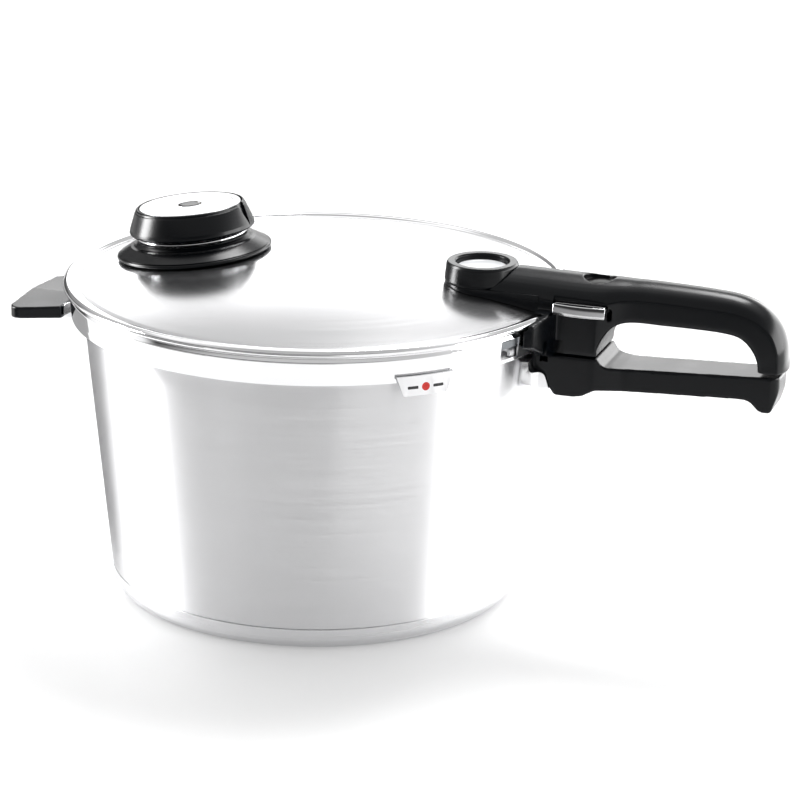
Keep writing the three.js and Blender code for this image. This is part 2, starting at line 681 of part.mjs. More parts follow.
function valveNut() {
  const shape = new THREE.Shape();
  for (let i = 0; i < 6; i += 1) {
    const angle = (Math.PI * i) / 3;
    const step = i ? 'lineTo' : 'moveTo';
    shape[step](15 * Math.cos(angle), 15 * Math.sin(angle));
  }
  return cut(plan(shape, -8.6, -3.7), disc(8.8, -10, 0));
}

function valveDiaphragm() {
  return turned([
    [0, -16.4], [3, -17.2], [8.6, -16.8], [11, -13], [11, -9], [8.9, -9], [8.9, -14.3], [0, -14.3],
  ]);
}

function crownKnob() {
  // hollow turning crown; its pointer side faces the handle at rest
  const c = CROWN;
  const crown = turned([
    [27.4, c.z0], [c.r - 1.2, c.z0], [c.r, 13.4], [c.r - 0.2, 14.6], [c.topR + 0.2, 25.8],
    [c.topR - 0.3, 26.6], [30.4, c.z1], [c.plateR + GAP, 26.7], [c.plateR + GAP, 25.2],
    [c.hole, 25.2], [c.hole, 23.2], [25.4, 23.2], [27.4, 21], [27.4, c.z0],
  ], MEDIUM);
  const notch = outline([[-4.2, 28], [4.2, 28], [0.8, 15.6], [-0.8, 15.6]]);
  const wedge = solid(new THREE.ExtrudeGeometry(notch, { depth: 14, bevelEnabled: false })
    .rotateX(Math.PI / 2).rotateZ(Math.PI / 2).rotateY(-0.4).translate(20.4, 0, 8.2));
  return cut(crown, common(wedge, ring(30.4, 45, 14, 30)));
}

function crownPlate() {
  return ring(CROWN.hole + 0.2, CROWN.plateR, 25.5, CROWN.z1, MEDIUM);
}

function indicatorRod() {
  return turned([
    [0, -13.4], [4.9, -13.4], [4.9, 12.3], [8, 12.3], [8, 13.7], [4, 13.7], [4, 25.4],
    [5.9, 25.6], [5.9, 26.4], [5.2, CROWN.z1], [0, CROWN.z1],
  ]);
}

function indicatorBand(i) {
  const top = 25.3 - i * (BAND_HEIGHT + GAP);
  return ring(4.3, 5.9, top - BAND_HEIGHT, top);
}

// ---------------------------------------------------------------- assembly
piece(cooker, 'base_cap', baseCap(), COLOUR.satin);
piece(cooker, 'base_core', baseCore(), COLOUR.aluminium);
piece(cooker, 'pot_body', potBody(), COLOUR.satin);
piece(cooker, 'pot_handle_bracket', potHandleBracket(), COLOUR.zinc);
piece(cooker, 'flame_guard', flameGuard(), COLOUR.polished);
piece(cooker, 'pot_handle', potHandle(), COLOUR.black);
piece(cooker, 'pot_handle_screw', potHandleScrew(), COLOUR.zinc);
piece(cooker, 'helper_bracket', helperBracket(), COLOUR.zinc);
piece(cooker, 'helper_handle', helperHandle(), COLOUR.black);
piece(cooker, 'helper_screw', helperScrew(), COLOUR.zinc);

const lid = group(cooker);
piece(lid, 'lid_gasket', lidGasket(), COLOUR.silicone);
piece(lid, 'lid_shell', lidShell(), COLOUR.satin);
piece(lid, 'position_tab', positionTab(), COLOUR.polished);
piece(lid, 'position_dot', dotAt(TAB.r + 0.1, TAB.r + TAB.thick - 0.1, DOT_R), COLOUR.red);
piece(lid, 'lid_handle', lidHandle(), COLOUR.black);
piece(lid, 'lid_handle_foot', lidHandleFoot(), COLOUR.black);
piece(lid, 'lid_handle_cover', lidHandleCover(), COLOUR.black);
piece(lid, 'nose_disc', discAt(NOSE_X, 0, NOSE_DISC.r, NOSE_DISC.z0, NOSE_DISC.z1), COLOUR.white);
piece(lid, 'lock_window', discAt(WINDOW.x, 0, WINDOW.r, WINDOW.z0, WINDOW.z1), COLOUR.gloss);
piece(lid, 'lock_guide', lockGuide(), COLOUR.black);
piece(lid, 'lock_bolt', lockBolt(), COLOUR.zinc);
piece(lid, 'lock_spring', helix(4.3, 0.9, 166.9, 173.3, 4).translate([BOLT_X, 0, 0]), COLOUR.zinc);
piece(lid, 'button_cap', buttonCap(), COLOUR.polished);
piece(lid, 'button_plate', buttonPlate(), COLOUR.gloss);
piece(lid, 'button_slider', buttonSlider(), COLOUR.black);
piece(lid, 'lock_flag', lockFlag(), COLOUR.green);

const vent = onDome(lid, VENT_X);
piece(vent, 'vent_seal', ventSeal(), COLOUR.silicone);
piece(vent, 'vent_pin', ventPin(), COLOUR.zinc);

const stud = onDome(lid, STUD_X);
piece(stud, 'handle_stud', handleStud(), COLOUR.zinc);
piece(stud, 'handle_nut', handleNut(), COLOUR.black);

const valve = onDome(lid, VALVE_X);
piece(valve, 'valve_base', valveBase(), COLOUR.black);
piece(valve, 'valve_trim', valveTrim(), COLOUR.polished);
piece(valve, 'valve_housing', valveHousing(), COLOUR.zinc);
piece(valve, 'valve_washer', valveWasher(), COLOUR.silicone);
piece(valve, 'valve_nut', valveNut(), COLOUR.zinc);
piece(valve, 'valve_diaphragm', valveDiaphragm(), COLOUR.silicone);
piece(valve, 'crown_knob', crownKnob(), COLOUR.black);
piece(valve, 'crown_plate', crownPlate(), COLOUR.polished);
piece(valve, 'indicator_rod', indicatorRod(), COLOUR.black);
piece(valve, 'valve_spring', helix(7.3, 1, 14.6, 22.4, 3), COLOUR.zinc);
BAND_COLOURS.forEach((name, i) => {
  piece(valve, `indicator_band_${name}`, indicatorBand(i), COLOUR[name]);
});

export default cooker;
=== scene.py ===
"""Stovetop pressure cooker: the looks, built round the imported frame.

Sizes are in millimetres in the part's own frame, and make() turns them into metres.
"""
import json
import math

import bmesh
import bpy
from mathutils import Matrix, Vector


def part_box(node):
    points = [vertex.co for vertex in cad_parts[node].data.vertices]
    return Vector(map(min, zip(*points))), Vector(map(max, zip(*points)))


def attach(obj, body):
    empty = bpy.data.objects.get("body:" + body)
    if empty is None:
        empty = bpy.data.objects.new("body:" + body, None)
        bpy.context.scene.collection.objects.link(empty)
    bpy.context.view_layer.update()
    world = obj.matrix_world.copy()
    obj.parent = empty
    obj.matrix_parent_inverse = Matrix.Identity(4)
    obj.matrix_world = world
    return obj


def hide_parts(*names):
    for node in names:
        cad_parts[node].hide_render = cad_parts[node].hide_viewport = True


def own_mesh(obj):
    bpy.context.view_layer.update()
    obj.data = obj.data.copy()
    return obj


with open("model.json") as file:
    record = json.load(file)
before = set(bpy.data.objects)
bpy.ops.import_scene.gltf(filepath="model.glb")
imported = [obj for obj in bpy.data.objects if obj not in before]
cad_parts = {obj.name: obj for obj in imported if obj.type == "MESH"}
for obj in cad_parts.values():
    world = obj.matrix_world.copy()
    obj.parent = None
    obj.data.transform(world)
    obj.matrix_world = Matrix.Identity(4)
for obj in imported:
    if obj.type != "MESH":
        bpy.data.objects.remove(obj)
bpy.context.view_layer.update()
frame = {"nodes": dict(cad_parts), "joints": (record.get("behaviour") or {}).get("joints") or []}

MM = 0.001


# ---------------------------------------------------------------- sizes read from the frame
def low(node):
    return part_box(node)[0] / MM


def high(node):
    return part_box(node)[1] / MM


BASE_R = high("base_cap").y
BASE_H = high("base_cap").z
RIM_Z = high("pot_body").z
LUG_R = high("pot_body").y
LID_R = high("lid_shell").y
DOME_TOP = high("lid_shell").z
SKIRT_Z = low("lid_shell").z
NOSE_TOP = high("lid_handle").z
PART_Z = low("lid_handle").z
GUARD_TOP = high("flame_guard").z
GUARD_LOW = low("flame_guard").z
GUARD_HALF = high("flame_guard").y
HELPER_X = low("helper_handle").x
HELPER_HALF = high("helper_handle").y
HELPER_LOW = low("helper_handle").z
HELPER_TOP = high("helper_handle").z
BUTTON_X0, BUTTON_X1 = low("button_cap").x, high("button_cap").x
BUTTON_Z0, BUTTON_Z1 = low("button_cap").z, high("button_plate").z
DISC = (low("nose_disc") + high("nose_disc")) / 2
WINDOW = (low("lock_window") + high("lock_window")) / 2
JOINTS = {joint["name"]: joint for joint in frame["joints"]}
VALVE = Vector(JOINTS["crown_turn"]["pos_m"]) / MM

# ---------------------------------------------------------------- sizes of the fine shapes
FOOT_R, FOOT_Z = 117.3, 12.3        # pot wall where it leaves the base
WALL_R, WALL_Z = 131.5, 155         # pot wall at its top
MOUTH_R = 130.6
SKIRT_R = 140                       # outside of the lid's skirt
DOME_R = 700                        # spherical radius of the lid
LID_WALL = 1.3
BOX_HALF = 20                       # half width of both handles at their roots
NOSE_R = 21
NOSE_SEAM = 187.3                   # height of the joint between the nose and its foot
GAP = 0.3                           # clearance between neighbours
BAYONET_GAP = 48                    # degrees between one lug or claw and the next
BRUSHED_R = 135.2                   # the lid is brushed inside this radius, polished outside
MARK_ANGLE = -46                    # degrees round the lid from the handle to the position tab
STUD_X = 113
VENT_X = 92
BUTTON_BACK = -18.3
BUTTON_LEAN = 1.3                   # how far the button's front leans back over its height

TURNS = 256                         # facets round the large turned parts
SMALL_TURNS = 96


# ---------------------------------------------------------------- meshes
def make(name, vertices, faces):
    """A closed mesh object from points in millimetres."""
    mesh = bpy.data.meshes.new(name)
    mesh.from_pydata([Vector(vertex) * MM for vertex in vertices], [], faces)
    piece = bpy.data.objects.new(name, mesh)
    bpy.context.scene.collection.objects.link(piece)
    edit = bmesh.new()
    edit.from_mesh(mesh)
    bmesh.ops.remove_doubles(edit, verts=edit.verts, dist=1e-7)
    bmesh.ops.recalc_face_normals(edit, faces=edit.faces)
    edit.to_mesh(mesh)
    edit.free()
    return piece


def shade(piece, angle=38):
    """Smooth shading, with edges sharper than the angle kept crisp."""
    piece.data.shade_smooth()
    piece.data.set_sharp_from_angle(angle=math.radians(angle))
    return piece


def rounded(corners, closed=True, steps=6):
    """Points of an outline from (x, y) or (x, y, radius) corners, with an arc at each radius."""
    points = []
    count = len(corners)
    for i, corner in enumerate(corners):
        here = Vector(corner[:2])
        at_end = not closed and i in (0, count - 1)
        if len(corner) < 3 or at_end:
            points.append(here)
            continue
        before = Vector(corners[i - 1][:2]) - here
        after = Vector(corners[(i + 1) % count][:2]) - here
        half = before.angle(after) / 2
        reach = min(corner[2] / math.tan(half), 0.49 * before.length, 0.49 * after.length)
        radius = reach * math.tan(half)
        middle = (before.normalized() + after.normalized()).normalized()
        centre = here + middle * (radius / math.sin(half))
        start = here + before.normalized() * reach - centre
        end = here + after.normalized() * reach - centre
        for k in range(steps + 1):
            points.append(centre + start.slerp(end, k / steps, Vector((0, 0))).normalized() * radius)
    return points


def lathe(name, outline, turns=TURNS, closed=True):
    """Turns an outline of (radius, z) points about Z. An open one starts and ends on the axis."""
    vertices = []
    rings = []
    for r, z in outline:
        if r < 1e-6:
            rings.append([len(vertices)] * turns)
            vertices.append((0, 0, z))
            continue
        rings.append(list(range(len(vertices), len(vertices) + turns)))
        for i in range(turns):
            angle = 2 * math.pi * i / turns
            vertices.append((r * math.cos(angle), r * math.sin(angle), z))
    faces = []
    pairs = list(zip(rings, rings[1:]))
    if closed:
        pairs.append((rings[-1], rings[0]))
    for ring, other in pairs:
        for i in range(turns):
            j = (i + 1) % turns
            corners = [ring[i], ring[j], other[j], other[i]]
            face = [v for k, v in enumerate(corners) if v != corners[k - 1]]
            if len(face) > 2:
                faces.append(face)
    return make(name, vertices, faces)


def prism(name, outline, start, end, axis="Z"):
    """An outline drawn out along an axis: (x, y) along Z, (x, z) along Y or (y, z) along X."""
    spread = {
        "Z": lambda u, v, w: (u, v, w),
        "Y": lambda u, v, w: (u, w, v),
        "X": lambda u, v, w: (w, u, v),
    }[axis]
    count = len(outline)
    vertices = [spread(u, v, w) for w in (start, end) for u, v in outline]
    faces = [list(range(count)), list(range(count, 2 * count))]
    for i in range(count):
        j = (i + 1) % count
        faces.append([i, j, count + j, count + i])
    return make(name, vertices, faces)


def block(x0, x1, y0, y1, z0, z1):
    return prism("block", [(x0, y0), (x1, y0), (x1, y1), (x0, y1)], z0, z1)


def drum(x, y, r, z0, z1, turns=SMALL_TURNS):
    piece = lathe("drum", [(0, z0), (r, z0), (r, z1), (0, z1)], turns, closed=False)
    piece.data.transform(Matrix.Translation(Vector((x, y, 0)) * MM))
    return piece


def sector(r_in, r_out, z0, z1, middle, span, steps=24):
    """A piece of a ring about Z, centred on the angle middle and span degrees wide."""
    def arc(r, first, last):
        angles = [math.radians(first + (last - first) * i / steps) for i in range(steps + 1)]
        return [(r * math.cos(a), r * math.sin(a)) for a in angles]

    first, last = middle - span / 2, middle + span / 2
    return prism("sector", arc(r_out, first, last) + arc(r_in, last, first), z0, z1)


def bayonet_gaps(r_in, r_out, z0, z1):
    """Cutters for the gaps between the four lugs of the pot or the four claws of the lid."""
    return [sector(r_in, r_out, z0, z1, 90 * i + 45, BAYONET_GAP) for i in range(4)]


def apply(piece):
    """Fixes the piece's modifiers into its mesh."""
    bpy.context.view_layer.update()
    graph = bpy.context.evaluated_depsgraph_get()
    result = bpy.data.meshes.new_from_object(piece.evaluated_get(graph))
    old = piece.data
    piece.modifiers.clear()
    piece.data = result
    bpy.data.meshes.remove(old)
    return piece


def combine(piece, tools, operation):
    for tool in tools:
        step = piece.modifiers.new(operation, "BOOLEAN")
        step.operation = operation
        step.object = tool
        step.solver = "MANIFOLD"
    apply(piece)
    for tool in tools:
        bpy.data.objects.remove(tool)
    return piece


def carve(piece, *tools):
    return combine(piece, tools, "DIFFERENCE")


def weld(piece, *others):
    return combine(piece, others, "UNION")


def common(piece, *others):
    return combine(piece, others, "INTERSECT")


def moulded(piece, voxel=0.58, passes=6):
    """Rounds every edge a little, as on a moulding."""
    skin = piece.modifiers.new("skin", "REMESH")
    skin.mode = "VOXEL"
    skin.voxel_size = voxel * MM
    soften = piece.modifiers.new("soften", "SMOOTH")
    soften.factor = 0.5
    soften.iterations = passes
    return apply(piece)


def bevelled(piece, width, steps=3, angle=35):
    edge = piece.modifiers.new("edge", "BEVEL")
    edge.width = width * MM
    edge.segments = steps
    edge.limit_method = "ANGLE"
    edge.angle_limit = math.radians(angle)
    return apply(piece)


def add_mesh(piece, other):
    """Joins another mesh to the piece as a body of its own."""
    edit = bmesh.new()
    edit.from_mesh(piece.data)
    edit.from_mesh(other.data)
    edit.to_mesh(piece.data)
    edit.free()
    bpy.data.objects.remove(other)
    return piece


def slide(piece, x):
    """Moves a piece made on the axis to x."""
    piece.data.transform(Matrix.Translation(Vector((x, 0, 0)) * MM))
    return piece


def smooth_curve(rows, count):
    """Rows of numbers run through by a smooth curve, at count even steps."""
    result = []
    last = len(rows) - 1
    for step in range(count):
        t = last * step / (count - 1)
        i = min(int(t), last - 1)
        u = t - i
        p0, p1 = rows[max(i - 1, 0)], rows[i]
        p2, p3 = rows[i + 1], rows[min(i + 2, last)]
        result.append([
            0.5 * (2 * b + (c - a) * u + (2 * a - 5 * b + 4 * c - d) * u * u
                   + (3 * b - a - 3 * c + d) * u ** 3)
            for a, b, c, d in zip(p0, p1, p2, p3)
        ])
    return result


def dome_z(r):
    """Height of the lid's outside at a radius."""
    return DOME_TOP - r * r / (2 * DOME_R)


def square_to_dome(x):
    """The place and tilt of what stands on the lid at x."""
    return Matrix.Translation(Vector((x, 0, dome_z(x))) * MM) @ Matrix.Rotation(
        math.asin(x / DOME_R), 4, "Y")


def stand(piece, x):
    """Puts a piece made on the axis onto the lid at x, square to it."""
    piece.data.transform(square_to_dome(x))
    return piece


# ---------------------------------------------------------------- materials
def new_material(name, color, roughness, metallic=0.0):
    material = bpy.data.materials.new(name)
    material.use_nodes = True
    shader = material.node_tree.nodes["Principled BSDF"]
    shader.inputs["Base Color"].default_value = (*color, 1)
    shader.inputs["Roughness"].default_value = roughness
    shader.inputs["Metallic"].default_value = metallic
    return material, shader


def node(material, kind, **values):
    made = material.node_tree.nodes.new(kind)
    for key, value in values.items():
        if key in made.inputs:
            made.inputs[key].default_value = value
        else:
            setattr(made, key, value)
    return made


def link(material, source, target):
    material.node_tree.links.new(source, target)


def grain(material, shader, vector, scale, depth, detail=3.0):
    """Fine relief from noise, scale in grains per metre and depth in metres."""
    noise = node(material, "ShaderNodeTexNoise", Scale=scale, Detail=detail)
    bump = node(material, "ShaderNodeBump", Strength=1.0, Distance=depth)
    link(material, vector, noise.inputs["Vector"])
    link(material, noise.outputs["Fac"], bump.inputs["Height"])
    link(material, bump.outputs["Normal"], shader.inputs["Normal"])
    return noise


def vary_roughness(material, shader, source, smallest, largest):
    spread = node(material, "ShaderNodeMapRange")
    spread.inputs["From Min"].default_value = 0.3
    spread.inputs["From Max"].default_value = 0.7
    spread.inputs["To Min"].default_value = smallest
    spread.inputs["To Max"].default_value = largest
    link(material, source, spread.inputs["Value"])
    link(material, spread.outputs["Result"], shader.inputs["Roughness"])


def object_place(material):
    return node(material, "ShaderNodeTexCoord").outputs["Object"]


def turned_steel(name, color, roughness, anisotropy, lines, depth, flat=False):
    """Steel with fine lines running round Z: down a wall, or in rings on a flat top."""
    material, shader = new_material(name, color, roughness, 1.0)
    shader.inputs["Anisotropic"].default_value = anisotropy
    shader.inputs["Anisotropic Rotation"].default_value = 0.25
    tangent = node(material, "ShaderNodeTangent", direction_type="RADIAL", axis="Z")
    link(material, tangent.outputs["Tangent"], shader.inputs["Tangent"])
    split = node(material, "ShaderNodeSeparateXYZ")
    link(material, object_place(material), split.inputs["Vector"])
    across = split.outputs["Z"]
    if flat:
        level = node(material, "ShaderNodeCombineXYZ")
        link(material, split.outputs["X"], level.inputs["X"])
        link(material, split.outputs["Y"], level.inputs["Y"])
        length = node(material, "ShaderNodeVectorMath", operation="LENGTH")
        link(material, level.outputs["Vector"], length.inputs[0])
        across = length.outputs["Value"]
    stretched = node(material, "ShaderNodeMath", operation="MULTIPLY")
    stretched.inputs[1].default_value = lines
    link(material, across, stretched.inputs[0])
    place = node(material, "ShaderNodeCombineXYZ")
    for axis in "XY":
        slow = node(material, "ShaderNodeMath", operation="MULTIPLY")
        slow.inputs[1].default_value = 9.0
        link(material, split.outputs[axis], slow.inputs[0])
        link(material, slow.outputs["Value"], place.inputs[axis])
    link(material, stretched.outputs["Value"], place.inputs["Z"])
    noise = grain(material, shader, place.outputs["Vector"], 1.0, depth)
    vary_roughness(material, shader, noise.outputs["Fac"], roughness * 0.85, roughness * 1.15)
    return material


def polished_steel(name, color, roughness):
    """Mirror-like metal, a little wavy and unevenly polished."""
    material, shader = new_material(name, color, roughness, 1.0)
    noise = grain(material, shader, object_place(material), 60.0, 0.000004, 2.0)
    vary_roughness(material, shader, noise.outputs["Fac"], roughness * 0.7, roughness * 1.3)
    return material


def plastic(name, color, roughness, grains, depth, coat=0.0, shine=0.5):
    """Moulded plastic with a fine spark-eroded grain and a slightly uneven sheen."""
    material, shader = new_material(name, color, roughness)
    shader.inputs["Specular IOR Level"].default_value = shine
    place = object_place(material)
    grain(material, shader, place, grains, depth)
    shader.inputs["Coat Weight"].default_value = coat
    shader.inputs["Coat Roughness"].default_value = 0.08
    patches = node(material, "ShaderNodeTexNoise", Scale=45.0, Detail=4.0)
    link(material, place, patches.inputs["Vector"])
    vary_roughness(material, shader, patches.outputs["Fac"], roughness * 0.9, roughness * 1.1)
    return material


# turned: colour, roughness, anisotropy, lines per metre, depth in metres, rings on a flat top
# polished: colour, roughness
# plastic: colour, roughness, grains per metre, depth in metres, coat, shine
MATERIALS = {
    "pot_steel": turned_steel("pot_steel", (0.9, 0.9, 0.91), 0.4, 1.0, 2600, 0.0000008),
    "base_steel": turned_steel("base_steel", (0.7, 0.7, 0.71), 0.25, 0.7, 2200, 0.0000006),
    "dome_steel": turned_steel("dome_steel", (0.7, 0.7, 0.71), 0.21, 0.35, 2200, 0.00000003, True),
    "crown_steel": turned_steel("crown_steel", (0.8, 0.8, 0.81), 0.26, 0.4, 4200, 0.0000003, True),
    "chrome": polished_steel("chrome", (0.78, 0.78, 0.79), 0.07),
    "skirt_steel": polished_steel("skirt_steel", (0.9, 0.9, 0.91), 0.06),
    "guard_steel": polished_steel("guard_steel", (0.74, 0.74, 0.75), 0.2),
    "plain_steel": polished_steel("plain_steel", (0.5, 0.5, 0.51), 0.34),
    "aluminium": polished_steel("aluminium", (0.7, 0.7, 0.72), 0.45),
    "black": plastic("black", (0.001, 0.0018, 0.003), 0.25, 2200.0, 0.000006, shine=0.25),
    "gloss": plastic("gloss", (0.002, 0.002, 0.003), 0.1, 300.0, 0.000002, 0.2, 0.4),
    "pale": plastic("pale", (0.8, 0.81, 0.83), 0.3, 900.0, 0.000004),
    "silicone": plastic("silicone", (0.33, 0.35, 0.37), 0.62, 1500.0, 0.00001),
    "red": plastic("red", (0.72, 0.02, 0.012), 0.35, 900.0, 0.000004),
    "green": plastic("green", (0.03, 0.32, 0.06), 0.4, 900.0, 0.000004),
    "yellow": plastic("yellow", (0.75, 0.45, 0.02), 0.4, 900.0, 0.000004),
    "pane": plastic("pane", (0.002, 0.002, 0.002), 0.25, 300.0, 0.000002, shine=0.04),
    "ink": plastic("ink", (0.02, 0.02, 0.022), 0.5, 900.0, 0.000004),
}


def finish_piece(piece, look, body, *nodes, angle=38):
    """Shades a piece, gives it its material and hangs it on its body in place of its nodes."""
    shade(piece, angle)
    piece.data.materials.clear()
    piece.data.materials.append(MATERIALS[look])
    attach(piece, body)
    for name in nodes:
        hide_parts(name)
    return piece


def paint_node(name, look):
    """Gives a CAD node that is shown as it is its material."""
    mesh = frame["nodes"][name].data
    mesh.materials.clear()
    mesh.materials.append(MATERIALS[look])


# ---------------------------------------------------------------- pot
def base_cap():
    outline = rounded([
        (0, 0), (113.6, 0, 3), (BASE_R, 5, 6), (BASE_R, BASE_H, 0.35), (BASE_R - 0.9, BASE_H, 0.35),
        (BASE_R - 0.9, 5.2, 5), (113.2, 1, 2), (0, 1),
    ], closed=False)
    finish_piece(lathe("base_shell", outline, closed=False), "base_steel", "pot", "base_cap")
    core = lathe("base_disc", rounded([
        (0, 1.3), (112.6, 1.3, 2), (115.3, 5, 3), (115.3, 9.3, 0.5), (0, 9.3),
    ], closed=False), closed=False)
    finish_piece(core, "aluminium", "pot", "base_core")


def pot_body():
    floor = low("pot_body").z
    outline = rounded([
        (0, floor), (113, floor, 2), (FOOT_R, FOOT_Z, 1.5), (WALL_R, WALL_Z, 8), (132, 157.5, 3),
        (132, 162.9, 0.6), (135.8, 163, 0.4), (135.9, 160.7, 0.3), (LUG_R, 160.7, 0.4),
        (LUG_R, 164, 1.2), (136.6, RIM_Z, 1), (132, RIM_Z, 1.2), (MOUTH_R, 163.4, 1.2),
        (MOUTH_R, 156.5, 4), (130.2, WALL_Z, 8), (116.6, 15, 9), (111, floor + 1.3, 6),
        (0, floor + 1.3),
    ], closed=False, steps=8)
    body = lathe("pot_wall", outline, closed=False)
    carve(body, *bayonet_gaps(133, 139, 160, 166))
    finish_piece(body, "pot_steel", "pot", "pot_body")


# ---------------------------------------------------------------- lid
def lid_keep_out(gap):
    """All that the lid fills or covers, grown by a gap, to shape what stands on it."""
    dome = [(r, dome_z(r) + gap) for r in range(134, 0, -6)]
    return lathe("keep_out", [
        (0, 150), (SKIRT_R + gap + 0.1, 150), (SKIRT_R + gap + 0.1, 173.8), (LID_R + gap, 174.8),
        (LID_R + gap, 178.8), (142, 179.4), (136.6, 179.4), *dome, (0, DOME_TOP + gap),
    ], closed=False)


def lid_shell():
    claw_top = SKIRT_Z + 1.4
    dome = [(r, dome_z(r)) for r in range(0, 134, 6)]
    lining = [(r, z - LID_WALL) for r, z in reversed(dome)]
    edge = rounded([
        (133, dome_z(133)), (136.2, 176.9, 2), (137.8, 178.7, 2.2), (141.2, 179.2, 2.6),
        (LID_R, 177.4, 1.6), (LID_R, 175.8, 1.2), (141, 174.4, 1.0), (138.6, 174.2, 0.7),
        (140.1, 171.4, 1.5), (139.1, 163, 8), (138.8, SKIRT_Z, 0.5), (133.6, SKIRT_Z, 0.5),
        (133.6, claw_top, 0.4), (137.9, claw_top, 0.4), (138.2, 163.5, 8), (138.9, 170.6, 2),
        (137.2, 173.4, 2), (135.4, 175.1, 2), (133, dome_z(133) - LID_WALL),
    ], closed=False, steps=8)
    shell = lathe("lid_dome", dome + edge + lining, turns=360, closed=False)
    gaps = bayonet_gaps(132, 138.7, 157, claw_top + 1)
    window = sector(137, 142, 160.4, 171.2, -22, 6.2)
    slot = sector(137, 142, 161.3, 162.7, MARK_ANGLE, 14)
    bores = (VALVE.x, 9.2), (VENT_X, 5.6), (STUD_X, 3.5)
    holes = [stand(drum(0, 0, r, -20, 20), x) for x, r in bores]
    carve(shell, *gaps, window, slot, *holes)
    finish_piece(shell, "dome_steel", "lid", "lid_shell")
    polish_edge(shell)


def polish_edge(shell):
    """The rolled edge and the skirt are polished, and the dome is brushed in circles."""
    shell.data.materials.append(MATERIALS["skirt_steel"])
    for face in shell.data.polygons:
        centre = face.center / MM
        if math.hypot(centre.x, centre.y) > BRUSHED_R:
            face.material_index = 1


def lid_gasket():
    z = low("lid_gasket").z
    outline = rounded([
        (136.8, z, 0.6), (131.2, z, 0.8), (129, z + 2.2, 0.8), (134, z + 3.4, 0.8),
        (134, z + 5.9, 0.8), (128.4, z + 7.4, 0.6), (128.8, z + 9, 0.6), (135.2, z + 9, 0.8),
        (136.8, z + 7.6, 0.8),
    ])
    finish_piece(lathe("sealing_ring", outline), "silicone", "seal_ring", "lid_gasket")


def position_tab():
    r, thick, top = SKIRT_R + 0.4, 0.8, high("position_tab").z
    plate = sector(r, r + thick, low("position_tab").z, top, 0, 13.6)
    bottom, upper = low("position_tab").z - 1, top + 1
    wedge = prism("wedge", rounded([
        (-12.7, bottom + 1, 1.2), (12.7, bottom + 1, 1.2), (17, upper), (-17, upper),
    ]), 120, 160, "X")
    common(plate, wedge)
    hook = sector(138.2, r + thick, top - 0.7, top, 0, 12.6)
    weld(plate, hook)
    bevelled(plate, 0.22)
    turn = Matrix.Rotation(math.radians(MARK_ANGLE), 4, "Z")
    plate.data.transform(turn)
    plate.name = "mark_plate"
    finish_piece(plate, "chrome", "lid", "position_tab")
    for name, look, outline in (
        ("mark_dot", "red", disc_outline(0, 156, 2.3)),
        ("mark_bar_left", "ink", bar_outline(-7.4, 156)),
        ("mark_bar_right", "ink", bar_outline(7.4, 156)),
    ):
        shape = prism(name, outline, r - 2, r + thick + 1, "X")
        common(shape, sector(r + thick - 0.1, r + thick + 0.06, 150, 162, 0, 13))
        shape.data.transform(turn)
        shape.name = name
        finish_piece(shape, look, "lid")
    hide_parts("position_dot")


def disc_outline(y, z, r):
    return [(y + r * math.cos(a), z + r * math.sin(a))
            for a in (2 * math.pi * i / 48 for i in range(48))]


def bar_outline(y, z):
    return rounded([(y - 3, z - 0.8, 0.4), (y + 3, z - 0.8, 0.4), (y + 3, z + 0.8, 0.4),
                    (y - 3, z + 0.8, 0.4)])


# ---------------------------------------------------------------- lid handle
# each row: top x and z, underside x and z, half width, drop of the crowned top at its sides
LID_HANDLE_ROWS = [
    (100, 197.4, 100, 155.3, 19.3, 11.0),
    (118, 197.4, 118, 155.3, 18.9, 11.0),
    (132, 197.3, 132, 155.3, 19.1, 11.4),
    (146, 197.1, 146, 155.3, 20.0, 12.0),
    (158, 197.0, 160, 155.3, 20.0, 12.0),
    (165, 197.0, 167.4, 155.4, 19.8, 11.9),
    (171, 197.0, 168.6, 160.5, 19.0, 11.4),
    (177, 197.0, 171.6, 167.0, 17.4, 10.6),
    (184, 196.9, 177.0, 173.0, 15.4, 9.4),
    (192, 197.0, 186.0, 175.6, 14.2, 8.6),
    (208, 196.7, 204.0, 175.7, 13.8, 8.3),
    (226, 196.0, 224.0, 175.6, 13.5, 8.1),
    (241, 194.8, 237.0, 175.0, 13.3, 7.6),
    (251.6, 191.9, 245.0, 173.5, 13.2, 6.8),
    (260, 186.9, 250.2, 169.8, 13.1, 5.8),
    (266.6, 179.2, 253.8, 165.0, 13.0, 4.8),
    (270.2, 170.4, 255.6, 160.6, 12.9, 4.3),
    (271.2, 162.4, 256.0, 157.8, 12.8, 4.0),
    (271.2, 155.3, 256.2, 155.3, 12.8, 3.8),
]


def swept_bar(name, rows, edge, count=120, arc=9):
    """A bar whose section runs from an underside line to a crowned top line."""
    vertices = []
    faces = []
    for x1, z1, x0, z0, half, drop in smooth_curve(rows, count):
        z0, z1 = max(z0, PART_Z), max(z1, PART_Z)
        up = Vector((x1 - x0, z1 - z0))
        height = up.length
        up.normalize()
        radius = (half * half + drop * drop) / (2 * drop)
        reach = math.asin(min(half / radius, 1))
        side = [(half - edge, 0), (half - 0.3 * edge, 0.3 * edge), (half, edge)]
        for k in range(arc + 1):
            angle = reach * (1 - k / arc)
            side.append((radius * math.sin(angle), height - radius * (1 - math.cos(angle))))
        loop = side + [(-y, h) for y, h in reversed(side[:-1])]
        vertices.extend((x0 + up.x * h, y, z0 + up.y * h) for y, h in loop)
    size = len(vertices) // count
    for i in range(count - 1):
        for k in range(size):
            j = (k + 1) % size
            faces.append([i * size + k, i * size + j, (i + 1) * size + j, (i + 1) * size + k])
    faces.append(list(range(size)))
    faces.append(list(range((count - 1) * size, count * size)))
    return make(name, vertices, faces)


